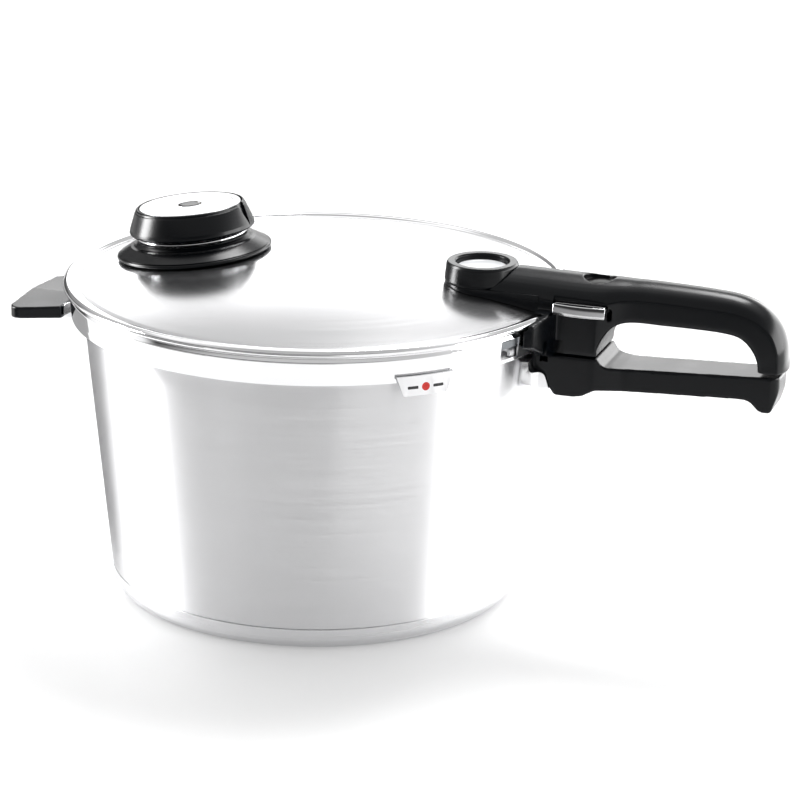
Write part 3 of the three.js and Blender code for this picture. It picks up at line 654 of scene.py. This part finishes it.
def handle_wings():
    """The crescent that hugs the lid edge on both sides of the handle."""
    crescent = sector(136, 147, PART_Z, 180, 0, 36, steps=48)
    wedges = []
    for side in (1, -1):
        rising = [(24, 150), (24, PART_Z - 1), (46, 165.5), (60, 172), (60, 150)]
        falling = [(18, 190), (18, 181), (46, 177.6), (60, 177), (60, 190)]
        for outline in (rising, falling):
            wedges.append(prism("wedge", [(side * y, z) for y, z in outline], 100, 160, "X"))
    return carve(crescent, *wedges)


def nose_ring():
    """The ring round the pale disc at the handle's inner end."""
    ring = lathe("nose", rounded([
        (14.3, NOSE_SEAM, 0.3), (20.6, NOSE_SEAM, 0.6), (NOSE_R, 188.6, 1), (20.1, 196.9, 0.8),
        (19.3, NOSE_TOP, 0.7), (15.4, NOSE_TOP, 0.35), (14.7, 197.6, 0.4), (14.3, 193.8, 0.1),
    ], steps=4), 2 * SMALL_TURNS)
    return slide(ring, DISC.x)


def button_slab(inset, z0, z1):
    """A slice of the button: straight at the back, bowed in front and leaning back there."""
    x0, x1 = BUTTON_X0 + inset, BUTTON_X1 - inset
    front, back = low("button_cap").y + inset, BUTTON_BACK - inset
    middle, half = (x0 + x1) / 2, (x1 - x0) / 2
    bow = [(middle + half * t, front + 1.7 * t * t) for t in (k / 12 - 1 for k in range(25))]
    outline = [(x0, back)] + bow + [(x1, back)]
    slab = prism("button_slab", outline, z0, z1)
    for vertex in slab.data.vertices:
        if vertex.co.y / MM < back - 0.1:
            rise = (vertex.co.z / MM - BUTTON_Z0) / (BUTTON_Z1 - BUTTON_Z0)
            vertex.co.y += BUTTON_LEAN * MM * rise
    return slab


def lid_handle():
    body = swept_bar("lid_grip", LID_HANDLE_ROWS, 2.2)
    weld(body, handle_wings())
    nose_seat = drum(DISC.x, 0, 20.4, 150, 200)
    lock_bay = [
        block(147, 164.6, -15, 15, 150, 176.7), block(147, 175.4, -17.4, 17.4, 176.6, 183.6),
        block(147, 175.4, -11.6, 11.6, 183.5, 189.6),
    ]
    window_seat = drum(WINDOW.x, 0, 8.9, WINDOW.z - 0.9, 210)
    window_bore = drum(WINDOW.x, 0, 6, 185, 200)
    carve(body, lid_keep_out(GAP + 0.1), nose_seat, *lock_bay, window_seat, window_bore)
    moulded(body)
    foot_room = block(60, 134.9, -30, 30, 150, NOSE_SEAM)
    button_ends = BUTTON_X0 - 0.5, BUTTON_X1 + 0.5
    button_pocket = [
        block(*button_ends, -30, -14, BUTTON_Z0 - 0.4, BUTTON_Z1 + 0.4),
        block(*button_ends, -30, -17.9, 183, 200),
    ]
    slots = [
        block(145.2, 150, -30, -16.8, 150, 164),
        *(sector(145.2, 149, PART_Z - 1, 166, angle, 1.6) for angle in (-13, 13)),
        block(139.7, 140.5, -30, -18.6, 150, 175.5),
    ]
    carve(body, foot_room, *button_pocket, *slots)
    add_mesh(body, nose_ring())
    finish_piece(body, "black", "lid", "lid_handle")


def lid_foot():
    front = [(DISC.x + 20.6 * math.cos(a), 20.6 * math.sin(a))
             for a in (math.radians(270 - 180 * i / 48) for i in range(49))]
    sides = [(134.7, -19.1), (116, -19), (104, -19.4)]
    plan = sides + front + [(x, -y) for x, y in reversed(sides)]
    foot = prism("nose_foot", plan, 170, NOSE_SEAM - 0.12)
    bore = drum(DISC.x - 1.4, 0, 12, 160, 195)
    carve(foot, lid_keep_out(GAP), bore, stand(drum(0, 0, 3.4, -30, 30), STUD_X))
    finish_piece(bevelled(foot, 0.1), "black", "lid", "lid_handle_foot")


def small_lid_parts():
    disc = lathe("nose_badge", rounded([
        (0, 194.1), (14, 194.1, 0.3), (14, 195.1, 0.5), (11.8, 195.1, 0.2), (11.4, 194.9, 0.2),
        (0, 194.9),
    ], closed=False, steps=3), SMALL_TURNS, closed=False)
    finish_piece(slide(disc, DISC.x), "pale", "lid", "nose_disc")
    pane = lathe("lock_pane", rounded([
        (0, WINDOW.z - 0.4), (8.3, WINDOW.z - 0.4, 0.2), (8.3, WINDOW.z + 0.2, 0.3),
        (0, WINDOW.z + 0.5),
    ], closed=False, steps=3), SMALL_TURNS, closed=False)
    finish_piece(slide(pane, WINDOW.x), "pane", "lid", "lock_window")


def button():
    cap = button_slab(0, BUTTON_Z0, BUTTON_Z1)
    tray = button_slab(0.75, BUTTON_Z1 - 0.9, BUTTON_Z1 + 1)
    cap.name = "button_frame"
    carve(cap, tray)
    finish_piece(bevelled(cap, 0.35), "chrome", "button", "button_cap")
    plate = button_slab(0.95, BUTTON_Z1 - 0.8, BUTTON_Z1 - 0.1)
    plate.name = "button_top"
    finish_piece(bevelled(plate, 0.12), "gloss", "button", "button_plate")


# ---------------------------------------------------------------- pot handle and guard
def plan_outline(near_x, end_x, grip_half):
    """Both handles from above: wide at the root, waisted to the grip, round at the end."""
    side = rounded([
        (near_x, -BOX_HALF), (166, -BOX_HALF, 14), (184, -grip_half - 0.9, 26),
        (end_x - 10, -grip_half + 0.5), (end_x, -grip_half + 0.6, 9), (end_x + 0.3, 0),
    ], closed=False, steps=12)
    return side + [(x, -y) for x, y in reversed(side[:-1])]


def pot_cone(gap):
    """The upper pot wall grown by a gap, to shape what fits round it."""
    start, end = 100, 170
    slope = (WALL_R - FOOT_R) / (WALL_Z - FOOT_Z)
    r0, r1 = FOOT_R + gap + slope * (start - FOOT_Z), WALL_R + gap
    return lathe("cone", [(0, start), (r0, start), (r1, WALL_Z), (r1, end), (0, end)],
                 closed=False)


def root_outline(offset):
    """The side of the black root, where the chrome guard ends."""
    edge = rounded([
        (132.6 + offset, 160), (132.8 + offset, 145.4, 3.2), (139.8 + offset, 144.6, 4),
        (142.4 + offset, 136), (147 + offset, 130),
    ], closed=False, steps=8)
    return edge + [(400, 130), (400, 160)]


def pot_handle():
    side = rounded([
        (126, 154.8), (168.6, 154.8, 0.8), (172, 149.8, 6), (181, 149.3, 10), (257, 153),
        (268.6, 153.2, 0.8), (268.2, 144, 30), (264.6, 133, 2.2), (258.5, 133.4, 5),
        (252.4, 139.2, 6), (246, 139.4, 10), (187, 136.8), (167.6, 136.6, 6), (161, 132.9, 6),
        (156, 132, 8), (146, 131.9, 12), (134, 137), (126, 140),
    ], steps=10)
    body = prism("pot_grip", side, -BOX_HALF, BOX_HALF, "Y")
    common(body, prism("plan", plan_outline(120, 268.2, 13.3), 120, 160))
    carve(body, pot_cone(GAP + 0.1))
    near = block(100, 147.5, -40, 40, 120, 160)
    carve(near, prism("root", root_outline(0), -50, 50, "Y"))
    carve(body, near)
    moulded(body)
    groove = lathe("groove", [(138.2, 150.5), (142.8, 150.5), (142.8, 158), (138.2, 158)])
    carve(body, groove, drum(151, 0, 5, 120, 136.3))
    finish_piece(body, "black", "pot", "pot_handle")


def flame_guard():
    sides = rounded([
        (120, -GUARD_HALF), (133.8, -GUARD_HALF + 0.5, 2), (137, -22.6, 3), (141.2, -BOX_HALF, 2.5),
        (147, -BOX_HALF),
    ], closed=False)
    across = sides + [(x, -y) for x, y in reversed(sides)]
    section = rounded([
        (-GUARD_HALF, GUARD_TOP), (-GUARD_HALF, GUARD_LOW, 6), (GUARD_HALF, GUARD_LOW, 6),
        (GUARD_HALF, GUARD_TOP),
    ])
    guard = prism("guard", across, 120, 160)
    common(guard, prism("section", section, 110, 160, "X"))
    groove = lathe("groove", [(138.2, 150.5), (148, 150.5), (148, 158), (138.2, 158)])
    carve(guard, pot_cone(0.15), prism("root", root_outline(-0.3), -60, 60, "Y"), groove)
    guard.name = "guard_sleeve"
    finish_piece(bevelled(guard, 0.4), "guard_steel", "pot", "flame_guard")


# ---------------------------------------------------------------- helper handle
def helper_handle():
    half, end = HELPER_HALF, HELPER_X
    plan = rounded([
        (-147, -26, 2), (end + 1, -half, 6), (end, 0, 200), (end + 1, half, 6), (-147, 26, 2),
    ], steps=8)
    body = prism("helper_grip", plan, HELPER_LOW, HELPER_TOP + 1)
    top = rounded([
        (-60, HELPER_LOW), (60, HELPER_LOW), (60, 150.4), (half, 151.2), (0, HELPER_TOP, 6),
        (-half, 151.2), (-60, 150.4),
    ])
    common(body, prism("top", top, -190, -120, "X"))
    weld(body, block(-148, -130, -22.2, 22.2, HELPER_LOW + 0.8, 151.2))
    carve(body, drum(0, 0, WALL_R + 3.6, 130, 160, TURNS), drum(-152, 0, 4.3, 140, 146.4))
    moulded(body, 0.5, 4)
    finish_piece(body, "black", "pot", "helper_handle")


def helper_bracket():
    cheeks = []
    for side in (1, -1):
        outline = rounded([
            (-120, 145.6), (-146, 145.6, 1), (-146, 153.4, 3), (-139, 156, 3), (-120, 156),
        ], closed=False)
        cheeks.append(prism("cheek", outline, side * 23.4, side * 25, "Y"))
    plate = prism("plate", [(-140, -25), (-120, -25), (-120, 25), (-140, 25)], 138, 156)
    common(plate, drum(0, 0, WALL_R + 2.4, 130, 160, TURNS))
    weld(plate, *cheeks)
    carve(plate, pot_cone(0.15))
    plate.name = "helper_mount"
    finish_piece(bevelled(plate, 0.3), "guard_steel", "pot", "helper_bracket")


# ---------------------------------------------------------------- valve, square to the dome
def valve_part(name, corners, look, body, *nodes, closed=True):
    """A small turned part of the valve, its outline measured from the lid's outside."""
    piece = lathe(name, rounded(corners, closed=closed, steps=5), 2 * SMALL_TURNS, closed=closed)
    return finish_piece(stand(piece, VALVE.x), look, body, *nodes)


def valve_base():
    base = lathe("valve_pedestal", rounded([
        (8.8, 0.4), (28, -0.15, 3), (38, -0.6, 4), (43.2, -0.5, 0.6), (44.2, 0.5, 0.7),
        (43.6, 1.8, 0.6), (35.9, 6.1, 1.0), (33.6, 6.5, 2.5), (31.6, 8.6, 0.8), (29, 8.6, 0.4),
        (28.2, 2.4, 1), (8.8, 2.4),
    ], steps=6), TURNS)
    carve(base, lathe("seam", [(42.6, 1.75), (43.6, 1.25), (43.9, 1.75), (42.9, 2.25)], TURNS))
    finish_piece(stand(base, VALVE.x), "black", "lid", "valve_base")


def crown():
    knob = lathe("crown_body", rounded([
        (27.4, 12.2, 0.4), (34.4, 12.2, 1.2), (35.8, 13.5, 0.9), (35.3, 15.6, 1.5),
        (31.6, 25.2, 0.5), (31.2, 25.3, 0.2), (31.0, 26.3, 0.5), (30.3, 26.9, 0.35),
        (29.8, 26.8, 0.2), (29.8, 25.2, 0.1), (6.6, 25.2, 0.2), (6.6, 23.2, 0.2), (25.4, 23.2, 1),
        (27.4, 21, 1),
    ], steps=5), TURNS)
    pointer = prism("pointer", [(-4.6, 28), (4.6, 28), (0.4, 14.6), (-0.4, 14.6)], 20, 50, "X")
    skin = lathe("skin", [(34.6, 13), (29.9, 26), (29.9, 30), (60, 30), (60, 13)])
    carve(knob, common(pointer, skin))
    finish_piece(stand(knob, VALVE.x), "black", "crown", "crown_knob")
    top = 26.8
    grooves = []
    for r in (7.6, 24.6):
        grooves += [(r - 0.3, top), (r - 0.25, top - 0.5), (r + 0.25, top - 0.5), (r + 0.3, top)]
    outline = [(6.8, 25.5), (6.8, top)] + grooves + [(28.6, top), (28.9, top - 0.3), (28.9, 25.5)]
    disc = lathe("crown_disc", outline, TURNS)
    finish_piece(stand(disc, VALVE.x), "crown_steel", "crown", "crown_plate", angle=30)


def valve_internals():
    valve_part("valve_ring", [
        (29.2, 9.2, 0.3), (31, 9.2, 0.5), (31.6, 10.2, 0.6), (31, 11.2, 0.5), (29.2, 11.2, 0.3),
    ], "chrome", "lid", "valve_trim")
    valve_part("valve_body", [
        (5.4, -14, 0.3), (8.5, -14, 0.3), (8.5, 2.7), (20, 2.7), (28, 4, 0.5), (28, 8.2, 0.3),
        (26.6, 8.2, 0.3), (26.4, 5.2, 0.5), (19.6, 4.2, 1), (8.5, 4.2, 0.5), (8.5, 12, 0.3),
        (5.4, 12, 0.3),
    ], "plain_steel", "lid", "valve_housing")
    valve_part("valve_seal", [
        (8.8, -3.4, 0.4), (14, -3.4, 0.5), (14, -1.9, 0.5), (8.8, -1.9, 0.4),
    ], "silicone", "lid", "valve_washer")
    valve_part("valve_cap", [
        (0, -16.4), (3, -17.2, 2), (8.6, -16.8, 2), (11, -13, 1.5), (11, -9, 0.5), (8.9, -9, 0.4),
        (8.9, -14.3, 0.5), (0, -14.3),
    ], "silicone", "lid", "valve_diaphragm", closed=False)
    valve_part("pressure_rod", [
        (0, -13.4), (4.9, -13.4, 0.5), (4.9, 12.3, 0.3), (8, 12.3, 0.4), (8, 13.7, 0.4),
        (4, 13.7, 0.4), (4, 25.4), (5.9, 25.6, 0.2), (5.9, 26.5, 0.4), (5, 26.9, 0.4), (0, 26.9),
    ], "black", "indicator", "indicator_rod", closed=False)
    for i, name in enumerate(("yellow", "green", "red")):
        top = 25.3 - 2 * i
        valve_part(f"{name}_band", [
            (4.3, top - 1.7, 0.15), (5.9, top - 1.7, 0.2), (5.9, top, 0.2), (4.3, top, 0.15),
        ], name, "indicator", f"indicator_band_{name}")
    hexagon = [(15 * math.cos(math.pi * i / 3), 15 * math.sin(math.pi * i / 3)) for i in range(6)]
    nut = carve(prism("clamp_nut", hexagon, -8.6, -3.7), drum(0, 0, 8.8, -12, 0))
    finish_piece(stand(bevelled(nut, 0.5), VALVE.x), "plain_steel", "lid", "valve_nut")


def coil(name, radius, wire, z0, z1, turns, place, look, body, cad_node):
    """A compression spring, swept as a helix."""
    steps, sides = 32 * turns, 10
    vertices = []
    faces = []
    for i in range(steps + 1):
        angle = 2 * math.pi * turns * i / steps
        out = Vector((math.cos(angle), math.sin(angle), 0))
        centre = out * radius + Vector((0, 0, z0 + (z1 - z0) * i / steps))
        for k in range(sides):
            turn = 2 * math.pi * k / sides
            vertices.append(centre + (out * math.cos(turn) + Vector((0, 0, math.sin(turn)))) * wire / 2)
    for i in range(steps):
        for k in range(sides):
            j = (k + 1) % sides
            faces.append([i * sides + k, i * sides + j, (i + 1) * sides + j, (i + 1) * sides + k])
    faces += [list(range(sides)), list(range(steps * sides, (steps + 1) * sides))]
    piece = make(name, vertices, faces)
    piece.data.transform(place)
    return finish_piece(piece, look, body, cad_node)


def springs():
    """Two coil springs: one in the valve and one at the lock bolt."""
    stand_valve = square_to_dome(VALVE.x)
    spring = coil("crown_spring", 7.3, 1, 14.6, 22.4, 3, stand_valve, "plain_steel", "lid",
                  "valve_spring")
    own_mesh(spring)
    bolt = (low("lock_bolt") + high("lock_bolt")) / 2
    spring = coil("bolt_spring", 4.3, 0.9, 166.9, 173.3, 4, Matrix.Translation((bolt.x * MM, 0, 0)),
                  "plain_steel", "lid", "lock_spring")
    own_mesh(spring)


def vent_and_stud():
    seal = lathe("vent_grommet", rounded([
        (4, -3, 0.3), (7.4, -3, 0.5), (7.4, -1.8, 0.4), (5.3, -1.7, 0.3), (5.3, 0.4, 0.3),
        (7.4, 0.5, 0.4), (7.2, 1.5, 0.4), (4, 1.5, 0.3),
    ], steps=3), SMALL_TURNS)
    finish_piece(stand(seal, VENT_X), "silicone", "lid", "vent_seal")
    pin = lathe("vent_plunger", rounded([
        (0, -8.6), (6.2, -8.6, 0.5), (6.5, -6.7, 0.4), (3.6, -6.4, 0.5), (3.6, 3.2, 0.3),
        (4.8, 3.2, 0.3), (4.8, 4.4, 0.6), (0, 4.8),
    ], closed=False, steps=3), SMALL_TURNS, closed=False)
    finish_piece(stand(pin, VENT_X), "plain_steel", "vent", "vent_pin")
    stud = lathe("handle_bolt", rounded([
        (0, -12.5), (3, -12.5, 0.6), (3, 4.6, 0.4), (0, 4.6),
    ], closed=False, steps=3), SMALL_TURNS, closed=False)
    finish_piece(stand(stud, STUD_X), "plain_steel", "lid", "handle_stud")
    nut = lathe("wing_nut", rounded([
        (3.3, -9, 0.3), (8.4, -9, 0.8), (8.4, -6.6, 0.5), (10, -6.2, 0.5), (10, -2.3, 0.5),
        (3.3, -2.3, 0.3),
    ], steps=3), SMALL_TURNS)
    grips = [drum(10.8 * math.cos(a), 10.8 * math.sin(a), 2, -10, -1, 32)
             for a in (math.pi * i / 4 for i in range(8))]
    finish_piece(stand(bevelled(carve(nut, *grips), 0.25), STUD_X), "black", "lid", "handle_nut")


def screws():
    for name, x, z, body_r, head_r, length, cad_node in (
        ("grip_screw", 151, 133.2, 2.2, 4.6, 13.8, "pot_handle_screw"),
        ("helper_bolt", -152, 145, 1.9, 3.9, 6, "helper_screw"),
    ):
        head = 2.7 if head_r > 4 else 1.1
        piece = lathe(name, rounded([
            (0, z), (head_r, z, 0.5), (head_r, z + head, 0.3), (body_r, z + head, 0.2),
            (body_r, z + length, 0.4), (0, z + length),
        ], closed=False, steps=3), SMALL_TURNS, closed=False)
        slide(piece, x)
        carve(piece, block(x - 0.5, x + 0.5, -head_r + 1, head_r - 1, z - 1, z + 0.7))
        finish_piece(piece, "plain_steel", "pot", cad_node)


def painted_nodes():
    """Hidden pieces whose CAD shape is shown as it is."""
    for name, look in {
        "pot_handle_bracket": "plain_steel", "lid_handle_cover": "black", "lock_guide": "black",
        "lock_bolt": "plain_steel", "button_slider": "black", "lock_flag": "green",
    }.items():
        paint_node(name, look)


# ---------------------------------------------------------------- studio
CAMERA_AZIMUTH = 20                 # degrees round from the -Y side towards the handles
CAMERA_REACH = 1736                 # level distance from the pot's axis
CAMERA_HEIGHT = 677.4
CAMERA_YAW = -1.563
CAMERA_PITCH = -18.22
CAMERA_ROLL = 0.985
CAMERA_LENS = 144

# painted reflections: dark and grey cards on the floor that show only in glossy surfaces, never to the
# camera; corners (right, back) of the pot's axis, and grey level
PAINTED_REFLECTION_CARDS = {
    "front_painted_reflection": ([(-900, -1500), (120, -1500), (120, -560), (-900, -560)], 0.015),
    "left_painted_reflection": ([(-558, -49), (-1295, -113), (-935, -903), (-403, -389)], 0.015),
    "back_left_painted_reflection": ([(-900, 675), (-150, 0), (-130, 1500), (-900, 1500)], 0.25),
    "back_right_painted_reflection": ([(135, 0), (1080, 1500), (135, 1500)], 0.4),
}
# azimuth in degrees from the camera's side, then reach, height, width and depth in metres, power
# in watts, and whether the lamp lights all surfaces or only adds highlights
LAMPS = {
    "left": (-99, 1.0, 0.45, 0.34, 0.75, 26, False),
    "right": (80, 0.85, 0.3, 0.6, 0.4, 5, False),
    "edge": (117, 0.62, 0.2, 0.5, 0.4, 2.5, False),
    "key": (150, 1.0, 1.9, 0.7, 0.7, 26, True),
}
# grey levels round the room by degrees from the camera's side, from the horizon to overhead
ROOM_LOW = [(-180, 1.2), (-172, 1.1), (-164, 0.1), (-130, 0.1), (-124, 1.0), (-86, 1.0), (-81, 0.3),
            (-40, 0.35), (0, 0.5), (18, 0.7), (42, 1.0), (60, 1.1), (180, 1.2)]
ROOM_MIDDLE = [(-180, 3.6), (-171, 3.2), (-163, 0.3), (-128, 0.3), (-122, 1.0), (-88, 1.0),
               (-81, 0.03), (25, 0.05), (60, 0.8), (125, 1.2), (150, 3.0), (180, 3.6)]
ROOM_HIGH = [(-180, 0.6), (180, 0.6)]
ROOM_OVERHEAD = [(-180, 1.3), (-100, 1.2), (-70, 0.5), (70, 0.5), (100, 1.2), (180, 1.3)]
ROOM_STEPS = (9, 15), (20, 33), (44, 54)    # elevations over which one gives way to the next


def camera():
    data = bpy.data.cameras.new("camera")
    data.lens = CAMERA_LENS
    data.sensor_width = 36
    data.clip_end = 30
    holder = bpy.data.objects.new("camera", data)
    bpy.context.scene.collection.objects.link(holder)
    angle = math.radians(CAMERA_AZIMUTH)
    place = Vector((CAMERA_REACH * math.sin(angle), -CAMERA_REACH * math.cos(angle), CAMERA_HEIGHT))
    holder.matrix_world = (
        Matrix.Translation(place * MM)
        @ Matrix.Rotation(math.radians(CAMERA_AZIMUTH + CAMERA_YAW), 4, "Z")
        @ Matrix.Rotation(math.radians(90 + CAMERA_PITCH), 4, "X")
        @ Matrix.Rotation(math.radians(CAMERA_ROLL), 4, "Z")
    )
    bpy.context.scene.camera = holder


def lamp(name, azimuth, reach, height, width, depth, power, lights_all):
    """A panel light aimed at the pot."""
    data = bpy.data.lights.new(name, "AREA")
    data.shape = "RECTANGLE"
    data.size = width
    data.size_y = depth
    data.energy = power
    holder = bpy.data.objects.new(name, data)
    holder.visible_camera = False
    holder.visible_diffuse = lights_all
    bpy.context.scene.collection.objects.link(holder)
    angle = math.radians(CAMERA_AZIMUTH + azimuth)
    place = Vector((reach * math.sin(angle), -reach * math.cos(angle), height))
    aim = Vector((0, 0, 0.1)) - place
    holder.location = place
    holder.rotation_euler = aim.to_track_quat("-Z", "Y").to_euler()


def sheet(name, plan, top, level, glow=0):
    """A level sheet, its corners (right, back) of the pot's axis as the camera sees them.

    The paper is what the object stands on. The dark cards only show in what is glossy: they are painted
    reflections, hidden from the camera and from diffuse light, and they cast no shadow.
    """
    piece = prism(name, plan, top - 0.5, top)
    piece.data.transform(Matrix.Rotation(math.radians(CAMERA_AZIMUTH), 4, "Z"))
    material, shader = new_material(name, (level, level, level), 0.6)
    grain(material, shader, object_place(material), 400.0, 0.00001)
    shader.inputs["Emission Color"].default_value = (1, 1, 1, 1)
    shader.inputs["Emission Strength"].default_value = glow
    piece.data.materials.append(material)
    # a sheet with no glow is a painted reflection, seen only in glossy surfaces
    piece.visible_camera = piece.visible_diffuse = piece.visible_shadow = glow > 0


def level_ramp(tree, azimuth, levels):
    """A grey level for each direction round the room."""
    share = tree.nodes.new("ShaderNodeMapRange")
    share.inputs["From Min"].default_value = -math.pi
    share.inputs["From Max"].default_value = math.pi
    ramp = tree.nodes.new("ShaderNodeValToRGB")
    while len(ramp.color_ramp.elements) < len(levels):
        ramp.color_ramp.elements.new(0.5)
    for element, (angle, level) in zip(ramp.color_ramp.elements, levels):
        element.position = angle / 360 + 0.5
        element.color = (level, level, level, 1)
    tree.links.new(azimuth, share.inputs["Value"])
    tree.links.new(share.outputs["Result"], ramp.inputs["Fac"])
    return ramp.outputs["Color"]


def room():
    """A bright room with a dark side in front, so that the steel shows broad soft zones."""
    scene = bpy.context.scene
    scene.view_settings.view_transform = "Standard"
    world = bpy.data.worlds.new("room")
    world.use_nodes = True
    scene.world = world
    tree = world.node_tree
    coords = tree.nodes.new("ShaderNodeTexCoord")
    turn = tree.nodes.new("ShaderNodeVectorRotate")
    turn.rotation_type = "Z_AXIS"
    turn.inputs["Angle"].default_value = math.radians(90 - CAMERA_AZIMUTH)
    tree.links.new(coords.outputs["Generated"], turn.inputs["Vector"])
    split = tree.nodes.new("ShaderNodeSeparateXYZ")
    tree.links.new(turn.outputs["Vector"], split.inputs["Vector"])
    azimuth = tree.nodes.new("ShaderNodeMath")
    azimuth.operation = "ARCTAN2"
    tree.links.new(split.outputs["Y"], azimuth.inputs[0])
    tree.links.new(split.outputs["X"], azimuth.inputs[1])
    height = tree.nodes.new("ShaderNodeMath")
    height.operation = "ARCSINE"
    tree.links.new(split.outputs["Z"], height.inputs[0])
    color = level_ramp(tree, azimuth.outputs["Value"], ROOM_LOW)
    for levels, (start, end) in zip((ROOM_MIDDLE, ROOM_HIGH, ROOM_OVERHEAD), ROOM_STEPS):
        mix = tree.nodes.new("ShaderNodeMix")
        mix.data_type = "RGBA"
        share = tree.nodes.new("ShaderNodeMapRange")
        share.interpolation_type = "SMOOTHSTEP"
        share.inputs["From Min"].default_value = math.radians(start)
        share.inputs["From Max"].default_value = math.radians(end)
        tree.links.new(height.outputs["Value"], share.inputs["Value"])
        tree.links.new(share.outputs["Result"], mix.inputs["Factor"])
        tree.links.new(color, mix.inputs["A"])
        tree.links.new(level_ramp(tree, azimuth.outputs["Value"], levels), mix.inputs["B"])
        color = mix.outputs["Result"]
    tree.links.new(color, tree.nodes["Background"].inputs["Color"])


camera()
sheet("paper", [(-9000, -9000), (9000, -9000), (9000, 9000), (-9000, 9000)], 0, 0.84, glow=0.2)
# the cards paint dark and grey reflections into the steel and the black plastic
for reflection_card, (plan, level) in PAINTED_REFLECTION_CARDS.items():
    sheet(reflection_card, plan, 1, level)
for name, values in LAMPS.items():
    lamp(name, *values)
room()
base_cap()
pot_body()
lid_shell()
lid_gasket()
position_tab()
lid_handle()
lid_foot()
small_lid_parts()
button()
pot_handle()
flame_guard()
helper_handle()
helper_bracket()
valve_base()
crown()
valve_internals()
springs()
vent_and_stud()
screws()
painted_nodes()
